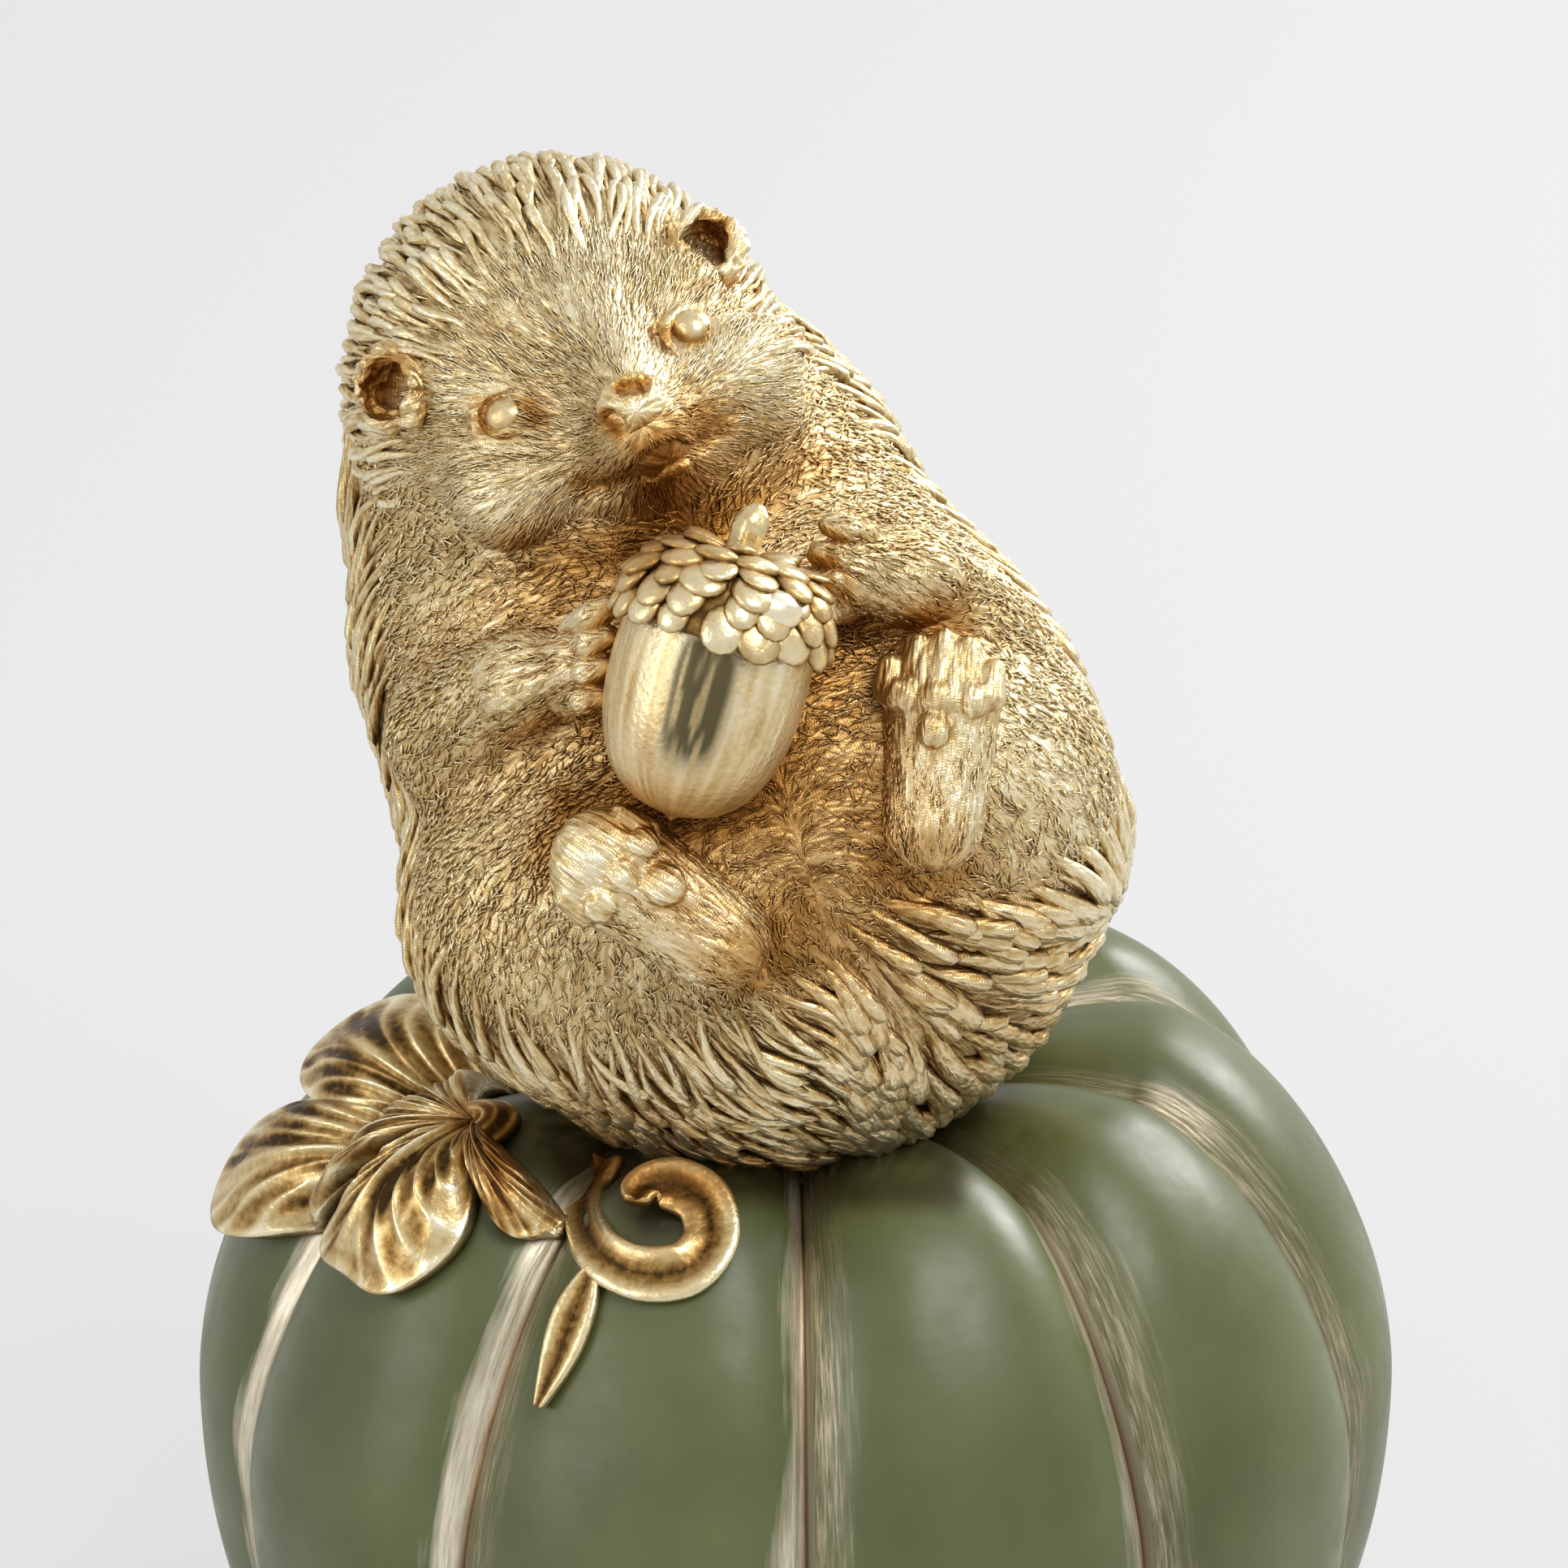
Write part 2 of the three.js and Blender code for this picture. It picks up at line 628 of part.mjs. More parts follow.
// Leaf: lobes round one junction, wrapped over the pumpkin's shoulder. Each lobe has its turn,
// its length and how far it spreads to either side, in degrees.
const leafLobes = [
  { turn: -30, length: leafLength * 0.85, before: 31, after: 24 },
  { turn: 2, length: leafLength, before: 19, after: 21 },
  { turn: 49, length: leafLength * 0.54, before: 26, after: 62 },
  { turn: 129, length: leafLength * 0.43, before: 13, after: 13 },
];
const pumpkinCore = vec(0, 0, equatorHeight);
const outward = (azimuth, elevation) => vec(
  Math.cos(radians(azimuth)) * Math.cos(radians(elevation)),
  Math.sin(radians(azimuth)) * Math.cos(radians(elevation)),
  Math.sin(radians(elevation)));
const leafRoot = onPumpkin([-leafRootAcross, -leafRootDrop]).sub(pumpkinCore);
const leafUp = leafRoot.clone().normalize();
const leafRadius = leafRoot.length();
const leafAcross = leafUp.clone().cross(outward(leafTipAzimuth, leafTipElevation)).normalize();
const leafAlong = leafAcross.clone().cross(leafUp);

function leafReach(angle) {
  const reaches = leafLobes.map(({ turn, length, before, after }) => {
    const off = (angle - turn) / (angle < turn ? before : after);
    return length * Math.sqrt(Math.max(0, 1 - Math.abs(off) ** 3));
  });
  return Math.max(leafHeart, ...reaches);
}

function leafPoint(angle, share, lift) {
  const arc = leafReach(angle) * share / leafRadius;
  const direction = leafUp.clone().multiplyScalar(Math.cos(arc))
    .addScaledVector(leafAlong, Math.sin(arc) * Math.cos(radians(angle)))
    .addScaledVector(leafAcross, Math.sin(arc) * Math.sin(radians(angle)));
  const nearestVein = Math.min(...leafLobes.map(({ turn }) => Math.abs(angle - turn)));
  const vein = lift > 0 ? veinHeight * Math.max(0, 1 - nearestVein / veinSpread) * (1 - share) : 0;
  const arch = leafArch * Math.sin(Math.PI * share);
  const curl = leafTipLift * (leafReach(angle) * share / leafLength) ** 2;
  const skin = skinPoint(pumpkinSkin, pumpkinCore, direction, seatGap);
  return skin.addScaledVector(direction, arch + curl + vein + lift);
}

function leaf() {
  const spokes = 54;
  const shares = [0.12, 0.4, 0.7, 0.92, 1];
  const sheet = (lift, trims) => trims.map((share) => Array.from({ length: spokes }, (_, spoke) => (
    leafPoint(-180 + 360 * spoke / spokes, share, lift))));
  const rings = [...sheet(leafThickness, shares), ...sheet(0, [...shares].reverse())];
  return skinned(rings);
}

// Tendril: a channelled ribbon laid on the pumpkin, curled at one end
function ribbon(route, steps, widths, rises = () => 0, grow = 0) {
  const path = new THREE.CatmullRomCurve3(route.map(onPumpkin));
  const rings = [];
  for (let step = 0; step <= steps; step += 1) {
    const along = step / steps;
    const centre = path.getPointAt(along);
    const heading = path.getTangentAt(along);
    const normal = skinNormal(pumpkinSkin, centre);
    const side = new THREE.Vector3().crossVectors(heading, normal).normalize();
    const up = new THREE.Vector3().crossVectors(side, heading);
    const half = widths(along) / 2 + grow;
    const thick = tendrilThickness / 2 + grow;
    const dish = channelDepth * Math.min(1, half / tendrilWidth * 2);
    const section = [
      [half, 0], [half * 0.72, thick], [0, thick - dish], [-half * 0.72, thick],
      [-half, 0], [-half * 0.6, -thick * 0.8], [half * 0.6, -thick * 0.8],
    ];
    centre.addScaledVector(up, rises(along));
    rings.push(section.map(([x, y]) => centre.clone().addScaledVector(side, x).addScaledVector(up, y)));
  }
  return skinned(rings);
}

const curlRoute = [
  [-0.443, -1.0], [-0.503, -1.114], [-0.465, -1.238], [-0.349, -1.305], [-0.211, -1.297],
  [-0.135, -1.214], [-0.151, -1.116], [-0.227, -1.073], [-0.314, -1.084], [-0.341, -1.135],
];
const tailRoute = [[-0.47, -1.297], [-0.522, -1.422], [-0.565, -1.541], [-0.622, -1.689]];
const curlWidth = (along) => tendrilWidth * (along > 0.94 ? 0.7 : 1);
const curlRise = (along) => 1.6 * Math.max(0, along - 0.75) / 0.25;
const tailWidth = (along) => tendrilWidth * (0.35 + 0.8 * Math.sin(Math.PI * along ** 0.8));
const tendrilCurl = (grow = 0) => ribbon(curlRoute, 34, curlWidth, curlRise, grow);
const tendrilTail = ribbon(tailRoute, 10, tailWidth);

const group = new THREE.Group();
const hedgehog = new THREE.Group();
hedgehog.applyMatrix4(stance);
group.add(hedgehog);

function put(parent, name, manifold, material) {
  const mesh = new THREE.Mesh(geometryOf(manifold), material);
  mesh.name = name;
  parent.add(mesh);
}

// Underside: felt disc, closing plate and the ribbed shell with its rebate
const plateBottom = standHeight;
const plateTop = plateBottom + plateThickness;
put(group, 'felt_base', disc(feltDiameter, 0, feltThickness), feltCloth);
put(group, 'base_plate', disc(plateDiameter, plateBottom, plateTop), rawResin);

const hollowProfile = profileStations([2, 3, 2], pumpkinWall + grooveDepth).slice(1)
  .map(({ spot }) => [Math.max(spot.x, 0), spot.y]);
const shellHollow = turned([
  [0, plateTop + seatGap / 2],
  [plateDiameter / 2 - plateLedge, plateTop + seatGap / 2],
  ...hollowProfile,
], 30);
const rebate = disc(plateDiameter + 2 * seatGap, -1, plateTop + seatGap);
const dowelTop = seatHeight - rumpRadius + dowelReach;
const dowelAt = (diameter, bottom, top) => (
  disc(diameter, bottom, top, 20).translate([-standLeft, -standForward, 0]));
const dowelBore = dowelAt(dowelDiameter + 2 * seatGap, pumpkinHeight / 2, dowelTop + seatGap);
const shell = ribbedBody().subtract(shellHollow).subtract(rebate).subtract(dowelBore);
put(group, 'pumpkin_shell', shell, greenPaint);
put(group, 'hedgehog_dowel', dowelAt(dowelDiameter, dowelTop - dowelLength, dowelTop), dowelWood);

// Hedgehog castings, each trimmed by the grown skin of what it sits on
const smoothing = 0.1;

// A casting with its neighbours cut away, less the crumbs that the cuts leave
function trimmed(manifold, cuts) {
  const rest = cuts.reduce((left, cut) => left.subtract(cut), manifold).simplify(smoothing);
  return rest.decompose().reduce((best, piece) => (piece.volume() > best.volume() ? piece : best));
}

const grownPumpkin = placed(ribbedBody(seatGap), toHedgehog);
const grownTorso = torso(seatGap);
const grownHead = head(seatGap);
const body = trimmed(torso(), [grownPumpkin, placed(dowelBore, toHedgehog), acornGrown]);
put(hedgehog, 'hedgehog_body', body, gold);
const sockets = joined([
  ...eyes.map((at) => eyeBall(at, seatGap)), noseBall(seatGap), ear(-1, seatGap), ear(1, seatGap),
]);
put(hedgehog, 'hedgehog_head', trimmed(head(), [grownTorso, sockets, acornGrown]), gold);
['left', 'right'].forEach((word, index) => {
  put(hedgehog, `eye_${word}`, eyeBall(eyes[index]), brightGold);
  put(hedgehog, `ear_${word}`, ear(index * 2 - 1), gold);
});
put(hedgehog, 'nose', noseBall(), brightGold);

put(hedgehog, 'acorn_nut', nutShape, brightGold);
put(hedgehog, 'acorn_cap', capShape, brightGold);
put(hedgehog, 'acorn_stem', stem(), brightGold);

const limbCuts = [grownTorso, grownHead, acornGrown];
const besideNut = (across, depth, up) => vec(across, depth, up).multiplyScalar(nutDiameter).add(acornAt);
const leftLeg = [
  onChest(-0.347, -0.34, -0.24),
  besideNut(-0.99, 0.68, -0.28),
  besideNut(-0.75, 0.39, -0.19),
  vec(0.1, -0.2, 1),
];
const rightLeg = [
  onChest(0.573, -0.34, -0.056),
  besideNut(0.93, 0.63, 0.25),
  besideNut(0.64, 0.39, 0.272),
  vec(0.25, -0.2, 1),
];
put(hedgehog, 'foreleg_left', trimmed(foreleg(...leftLeg), limbCuts), gold);
put(hedgehog, 'foreleg_right', trimmed(foreleg(...rightLeg), limbCuts), gold);
const leftFoot = [onRump(-0.019, -1.06, -0.416), onRump(-0.53, -1, -0.065), vec(0.1, -1, -0.1).normalize()];
const rightFoot = [onRump(0.478, -1, -0.122), onRump(0.527, -0.879, 0.459), vec(-0.1, -1, 0.1).normalize()];
const legsGrown = [foreleg(...leftLeg, seatGap), foreleg(...rightLeg, seatGap)];
put(hedgehog, 'hind_foot_left', trimmed(hindFoot(...leftFoot), [...limbCuts, ...legsGrown]), gold);
put(hedgehog, 'hind_foot_right', trimmed(hindFoot(...rightFoot), [...limbCuts, ...legsGrown]), gold);

// Leaf and tendril lie on the pumpkin and meet the rump
const worldPumpkin = ribbedBody(seatGap);
const worldTorso = placed(grownTorso, stance);
const curlGrown = tendrilCurl(seatGap);
put(group, 'leaf', trimmed(leaf(), [worldPumpkin, worldTorso, curlGrown]), brightGold);
put(group, 'tendril_curl', trimmed(tendrilCurl(), [worldPumpkin, worldTorso]), brightGold);
put(group, 'tendril_tail', trimmed(tendrilTail, [worldPumpkin, curlGrown]), brightGold);

export default group;
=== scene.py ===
import math

import bpy
import numpy as np
import openvdb as vdb
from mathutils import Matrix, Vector


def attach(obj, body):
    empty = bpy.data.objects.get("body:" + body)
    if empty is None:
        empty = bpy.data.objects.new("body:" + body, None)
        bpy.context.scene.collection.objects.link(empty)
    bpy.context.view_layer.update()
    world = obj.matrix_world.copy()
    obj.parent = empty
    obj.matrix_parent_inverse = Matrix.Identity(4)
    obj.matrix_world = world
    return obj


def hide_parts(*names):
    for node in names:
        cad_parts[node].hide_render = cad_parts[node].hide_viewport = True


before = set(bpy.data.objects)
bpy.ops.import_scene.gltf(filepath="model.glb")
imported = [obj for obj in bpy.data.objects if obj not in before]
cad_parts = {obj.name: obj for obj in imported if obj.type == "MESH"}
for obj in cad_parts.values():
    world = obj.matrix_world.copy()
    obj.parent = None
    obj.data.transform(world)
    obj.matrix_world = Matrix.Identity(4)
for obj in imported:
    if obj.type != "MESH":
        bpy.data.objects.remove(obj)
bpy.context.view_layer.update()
scene = bpy.context.scene
link = scene.collection.objects.link

# Sizes in millimetres, the same values as the solids
seat_gap = 0.3
recline = math.radians(25)
stance_at = np.array([-4.1, -10.0, 119.9])
rump_radius = 37.0
rump_depth = 33.0


def about_x(angle):
    c, s = math.cos(angle), math.sin(angle)
    return np.array([[1, 0, 0], [0, c, -s], [0, s, c]])


# The hedgehog's own frame: x right, y into the picture, z up its back
turn_x = about_x(-recline)


def to_world(points):
    return points @ turn_x.T + stance_at


def to_figure(points):
    return (points - stance_at) @ turn_x


def turn_y(degrees):
    c, s = math.cos(math.radians(degrees)), math.sin(math.radians(degrees))
    return np.array([[c, 0, s], [0, 1, 0], [-s, 0, c]])


def unit(v):
    v = np.asarray(v, float)
    return v / np.maximum(np.linalg.norm(v, axis=-1, keepdims=True), 1e-9)


# Distance forms: each takes an array of points and gives how far outside the form they lie
def lobe(at, size, turn=None):
    """An ellipsoid, size across, with its axes along the columns of turn"""
    at, radii = np.array(at, np.float32), np.array(size, np.float32) / 2
    turn = None if turn is None else turn.astype(np.float32)

    def form(p):
        q = p - at
        if turn is not None:
            q = q @ turn
        q = q / radii
        near = np.sqrt(np.einsum("ij,ij->i", q, q))
        q = q / radii
        slope = np.sqrt(np.einsum("ij,ij->i", q, q))
        return near * (near - 1) / np.maximum(slope, 1e-6)
    return form


def limb(a, b, start, end):
    """A round bar from a to b, its radius from start to end"""
    a, b = np.array(a, np.float32), np.array(b, np.float32)
    span = b - a
    square = float(span @ span)

    def form(p):
        along = np.clip((p - a) @ span / square, 0, 1)
        q = p - a - along[:, None] * span
        return np.sqrt(np.einsum("ij,ij->i", q, q)) - (start + (end - start) * along)
    return form


def chain(points, radii):
    parts = [limb(a, b, r, s) for a, b, r, s in zip(points, points[1:], radii, radii[1:])]
    return lambda p: np.min([part(p) for part in parts], axis=0)


def soft_min(a, b, k):
    h = np.maximum(k - np.abs(a - b), 0) / k
    return np.minimum(a, b) - h * h * k / 4


def blend(parts, k):
    """Forms run together over a width k"""
    def form(p):
        total = parts[0](p)
        for part in parts[1:]:
            total = soft_min(total, part(p), k)
        return total
    return form


def carved(form, cut, k):
    return lambda p: -soft_min(-form(p), cut(p), k)


def slope_of(form, p):
    """Outward direction of a form's skin near places"""
    g, step = np.empty_like(p), 0.15
    for axis in range(3):
        shift = np.zeros(3, p.dtype)
        shift[axis] = step
        g[:, axis] = form(p + shift) - form(p - shift)
    return unit(g).astype(p.dtype)


def on_skin(form, p):
    """Places brought onto a form's skin"""
    for _ in range(2):
        p = p - slope_of(form, p) * form(p)[:, None]
    return p


def noise(p, size, seed):
    """Value noise in three dimensions, from 0 to 1, the same each run"""
    q = p / size
    base = np.floor(q).astype(np.int64)
    f = q - base
    f = f * f * (3 - 2 * f)
    total = np.zeros(len(p))
    for dx in (0, 1):
        for dy in (0, 1):
            for dz in (0, 1):
                i, j, k = base[:, 0] + dx, base[:, 1] + dy, base[:, 2] + dz
                h = (i * 73856093) ^ (j * 19349663) ^ (k * 83492791) ^ (seed * 2654435761)
                h = (h ^ (h >> 13)) * 1274126177
                h = ((h ^ (h >> 16)) & 0xFFFF) / 65535.0
                w = (f[:, 0] if dx else 1 - f[:, 0]) * (f[:, 1] if dy else 1 - f[:, 1])
                total += h * w * (f[:, 2] if dz else 1 - f[:, 2])
    return total


def combed(p, flow, size, reach, seed, steps=9):
    """Noise smeared along the flow, so that it reads as strands"""
    total = np.zeros(len(p))
    for s in np.linspace(-reach, reach, steps):
        total += noise(p + flow * s, size, seed)
    total /= steps
    return np.clip((total - 0.5) * math.sqrt(steps) * 0.9 + 0.5, 0, 1)


def surface(form, low, high, step):
    """The skin of a form as quads, from a grid that is filled finely only near the skin"""
    block, band, batch = 4, 6, 500000
    low = np.array(low, float)
    count = np.ceil((np.array(high, float) - low) / (step * block)).astype(int)
    axes = [low[a] + (np.arange(count[a]) * block + (block - 1) / 2) * step for a in range(3)]
    middles = np.stack(np.meshgrid(*axes, indexing="ij"), -1).reshape(-1, 3).astype(np.float32)
    rough = form(middles).reshape(count)
    near = np.abs(rough) < (band + 3) * step
    field = rough.astype(np.float32)
    for a in range(3):
        field = np.repeat(field, block, a)
    cell = np.arange(block)
    offset = np.stack(np.meshgrid(cell, cell, cell, indexing="ij"), -1).reshape(-1, 3)
    index = (np.argwhere(near)[:, None, :] * block + offset[None]).reshape(-1, 3)
    for start in range(0, len(index), batch):
        i = index[start:start + batch]
        field[i[:, 0], i[:, 1], i[:, 2]] = form((low + i * step).astype(np.float32))
    grid = vdb.FloatGrid(band * step)
    grid.copyFromArray(np.clip(field, -band * step, band * step))
    points, quads = grid.convertToQuads(0.0)
    return low + points * step, quads


def new_piece(name, points, faces, values, figure=True):
    """A mesh object. Points in mm, in the figure's frame or the world's; faces one array or several"""
    faces = faces if isinstance(faces, list) else [faces]
    mesh = bpy.data.meshes.new(name)
    placed = to_world(points) if figure else points
    mesh.vertices.add(len(placed))
    mesh.vertices.foreach_set("co", (placed * 0.001).astype(np.float32).ravel())
    corners = np.concatenate([f.ravel() for f in faces]).astype(np.int32)
    sizes = np.concatenate([np.full(len(f), f.shape[1]) for f in faces])
    mesh.loops.add(len(corners))
    mesh.loops.foreach_set("vertex_index", corners)
    mesh.polygons.add(len(sizes))
    mesh.polygons.foreach_set("loop_start", (np.cumsum(sizes) - sizes).astype(np.int32))
    mesh.polygons.foreach_set("use_smooth", np.ones(len(sizes), bool))
    for key, value in values.items():
        if value.ndim == 2:
            ways = value @ turn_x.T if figure else value
            data = mesh.attributes.new(key, "FLOAT_VECTOR", "POINT").data
            data.foreach_set("vector", ways.astype(np.float32).ravel())
        else:
            mesh.attributes.new(key, "FLOAT", "POINT").data.foreach_set("value", value.astype(np.float32))
    mesh.update(calc_edges=True)
    mesh.validate()
    piece = bpy.data.objects.new(name, mesh)
    link(piece)
    return piece


def lathe(profile, count):
    """Rings of a profile (radius, height) turned about z, as a grid of points"""
    angle = np.arange(count) * 2 * math.pi / count
    r, z = np.array(profile, float).T
    heights = np.repeat(z[:, None], count, 1)
    return np.stack([r[:, None] * np.cos(angle), r[:, None] * np.sin(angle), heights], -1)


def grid_faces(rows, count):
    """Quads between rings of points, each ring closed"""
    i, j = np.meshgrid(np.arange(rows - 1), np.arange(count), indexing="ij")
    k = (j + 1) % count
    corners = [i * count + j, i * count + k, (i + 1) * count + k, (i + 1) * count + j]
    return np.stack(corners, -1).reshape(-1, 4)


def bar_faces(rows, count):
    """Quads between rings of points, with a face over each end"""
    ring = np.arange(count)
    return [grid_faces(rows, count), ring[None, ::-1], ((rows - 1) * count + ring)[None]]


def smooth_line(knots, count):
    """A curve through knots, by arc length"""
    knots = np.array(knots, float)
    p = np.vstack([2 * knots[0] - knots[1], knots, 2 * knots[-1] - knots[-2]])
    t = np.linspace(0, len(knots) - 1, count * 8)
    i = np.minimum(t.astype(int), len(knots) - 2)
    u = (t - i)[:, None]
    a, b, c, d = p[i], p[i + 1], p[i + 2], p[i + 3]
    line = 0.5 * (2 * b + (c - a) * u + (2 * a - 5 * b + 4 * c - d) * u ** 2
                  + (3 * b - a - 3 * c + d) * u ** 3)
    run = run_of(line)
    even = np.linspace(0, run[-1], count)
    return np.stack([np.interp(even, run, line[:, axis]) for axis in range(line.shape[1])], 1)


def run_of(line):
    """Length along a line up to each of its points"""
    return np.concatenate([[0], np.cumsum(np.linalg.norm(np.diff(line, axis=0), axis=1))])


# Torso and head, as in the solids
torso_form = blend([
    lobe((0, 0, 0), (2 * rump_radius, 2 * rump_depth, 2 * rump_radius)),
    lobe((-11.5, 3, 21), (62, 50, 54), turn_y(-12)),
    lobe((-14.5, 8, 36), (57, 38, 42)),
    lobe((3, 12.6 - rump_depth, 4), (34, 18, 34)),
    lobe((-20, -16, -13), (34, 29, 29), turn_y(35)),
    lobe((23, -15, 1), (29, 29, 34)),
], 7)
torso_core = np.array([-5.0, 0, 9])
head_centre = np.array([-18.5, -1, 45])
face_turn = turn_y(-24.5)


def face(right, depth, up):
    return head_centre + face_turn @ np.array([right, depth, up], float)


skull_form = blend([
    lobe(head_centre + (-1.7, 0, -0.4), (46, 44, 50), face_turn),
    limb(face(2, -12, -5), face(4, -31.4, -9), 10.5, 4.6),
    lobe(face(-8, -15.5, -7), (19, 15.5, 15.5)),
    lobe(face(12, -15.5, -7), (19, 15.5, 15.5)),
    lobe(face(2, -19, -13), (15, 15, 11), face_turn),
], 6)
head_core = face(4, 0, -9)


# Limbs and acorn, at the places that the solids have
acorn_at = np.array([-3.6, -40.86, 19.4])
nut_radius = 10.3
cap_radius, cap_height = 11.7, 8.2
acorn_turn = turn_y(15) @ about_x(math.radians(5))
left_arm = np.array([(-33, -14, 8), (-24, -27, 13.6), (-19, -33, 15.4)], float)
right_arm = np.array([(24, -14, 18), (15.6, -28, 24.5), (9.6, -33, 25)], float)
left_sole = np.array([(-0.7, -35, -15.4), (-19.6, -33, -2.4)], float)
right_sole = np.array([(17.7, -33, -4.5), (19.5, -29, 17)], float)
sole_middles = [(left_sole[0] + left_sole[1]) / 2, (right_sole[0] + right_sole[1]) / 2]


def from_acorn(points):
    """Points of the acorn's own frame in the figure's"""
    return np.array(points, float) @ acorn_turn.T + acorn_at


acorn_form = blend([
    lobe(from_acorn((0, 0, -5.5)), (20.6, 20.6, 29), acorn_turn),
    lobe(from_acorn((0, 0, 0.5)), (23.4, 23.4, 18), acorn_turn),
], 1)

# The body with its limbs running into it
body_form = blend([
    torso_form,
    limb(left_arm[0], left_arm[1] + (-1, 1.5, 0), 6.4, 4.9),
    limb(right_arm[0] + (-1, 0, 0), right_arm[1] + (1, 1.5, 0), 6.4, 4.9),
    lobe(sole_middles[0] + (0, 6, 0), (27, 13, 17), turn_y(35)),
    lobe(sole_middles[1] + (0, 7, -1), (17, 15, 26)),
], 5)


# Face: brows, cheeks, sockets, lids, mouth and nose, set on the skull
def spot(x, z):
    """The skin of the skull straight behind a point of the front view"""
    low, high, halvings = -45.0, 0.0, 24
    for _ in range(halvings):
        middle = (low + high) / 2
        at = np.array([[x, middle, z]], np.float32)
        low, high = (middle, high) if skull_form(at)[0] > 0 else (low, middle)
    return np.array([x, high, z])


def arc(at, radius, start, stop):
    """Nine points of a tilted arc round a spot of the face, laid on the skull"""
    turn = math.radians(20)
    points = []
    for angle in np.radians(np.linspace(start, stop, 9)):
        a, b = radius[0] * math.cos(angle), radius[1] * math.sin(angle)
        x = at[0] + a * math.cos(turn) - b * math.sin(turn)
        points.append(spot(x, at[2] + a * math.sin(turn) + b * math.cos(turn)))
    return points


eye_left, eye_right, nose_at = spot(-26.6, 41.4), spot(-7.0, 50.6), spot(-11.9, 40.6)
nose_middle = np.array([-13.0, 1.5 + nose_at[1], 41.8])
nostrils = [nose_middle + (0.1, -2.3, 2.4), nose_middle + (-2.2, -2.0, -1.8)]
mouth_line = [(-18.8, 34), (-15.6, 33.6), (-12.2, 34.6), (-8.8, 36.2), (-5.2, 38.8), (-1.8, 42)]
mouth = [spot(x, z) for x, z in mouth_line]
lid_radii = [0.3, 0.45, 0.6, 0.66, 0.7, 0.66, 0.6, 0.45, 0.3]
groove_radii = [0.2, 0.4, 0.5, 0.55, 0.6, 0.55, 0.5, 0.4, 0.2]
head_form = blend([
    skull_form,
    lobe(spot(-30.4, 46.4) + (0, 2.4, 0), (9, 7, 8), face_turn),
    lobe(spot(-8.6, 55) + (0, 2.9, 0), (9, 7, 7), face_turn),
    lobe(spot(-1.6, 47.4) + (0, 3.0, 0), (13, 9, 9), face_turn),
    lobe(spot(-25.4, 33.4) + (0, 2.9, 0), (13, 9, 11), face_turn),
    limb(spot(-18.4, 51.5) + (0, 3.7, 0), spot(-14.6, 45.4) + (0, 1.8, 0), 5.4, 3.6),
    lobe(nose_middle + (0, 1.6, 0), (8, 6, 7.8), face_turn),
], 3)
for cut, k in [
    (lobe(eye_right + (-1.2, -0.9, -0.4), (6, 3.2, 4.6), face_turn), 1.8),
    (chain(arc(eye_left + (0.3, 0, 0), (2.6, 2.4), 70, 290), groove_radii), 0.6),
    (chain(mouth, [0.4, 0.7, 1.0, 1.2, 0.7, 0.3]), 1.0),
    (lobe(mouth[3] + (-0.6, 0.6, 0.1), (6.4, 5.4, 3.6), face_turn), 0.9),
]:
    head_form = carved(head_form, cut, k)
head_form = blend([head_form, lobe(mouth[3] + (0.1, 2.0, -0.6), (3.8, 3.4, 2.2), face_turn)], 0.4)
face_form = blend([
    head_form,
    chain(arc(eye_left, (3.2, 2.9), 80, 280), lid_radii),
    chain(arc(eye_right, (2.8, 2.4), 60, 215), lid_radii),
], 0.7)
limbs = [limb(left_arm[1], left_arm[2], 4.4, 3.8), limb(right_arm[1], right_arm[2], 4.4, 3.8),
         limb(*left_sole, 5, 5), limb(*right_sole, 5, 5)]
whole_form = blend([body_form, skull_form, acorn_form] + limbs, 0.5)


# Which way the fur lies
def ramp(value, start, stop):
    t = np.clip((value - start) / (stop - start), 0, 1)
    return t * t * (3 - 2 * t)


crotch = np.array([6.0, 0, -9.0])


def body_flow(p):
    """Down the flanks, round the left thigh, and fanned out from the crotch at the lower right"""
    out = unit(np.stack([p[:, 0] - crotch[0], p[:, 2] - crotch[2]], 1))
    angle = np.degrees(np.arctan2(out[:, 1], out[:, 0]))
    angle = np.where(angle < -100, angle + 360, angle)
    left = ramp(angle, 95, 130) + ramp(angle, -62, -98)
    right = ramp(angle, -12, 20) * ramp(angle, 115, 85)
    fan = (0.45 - 0.3 * ramp(angle, -96, -118) * ramp(angle, -176, -150)
           + ramp(angle, -98, -60) * ramp(angle, 10, -25))
    x = left * -out[:, 1] + right * out[:, 1] + fan * out[:, 0]
    z = left * out[:, 0] - right * out[:, 0] + fan * out[:, 1]
    back = ramp(p[:, 1], -4, 12)
    front = 1 - back
    return unit(np.stack([x * front + 0.25 * out[:, 0] * back, 0.3 * front, z * front - back], 1))


def head_flow(p):
    """Away from the nose, over the head to its back"""
    away = p - nose_at
    away[:, 1] += 6
    return unit(away)


def laid(form, flow, p):
    """The flow, laid on the skin"""
    n = slope_of(form, p.astype(np.float32)).astype(float)
    f = flow(p)
    return n, unit(f - n * np.einsum("ij,ij->i", f, n)[:, None])


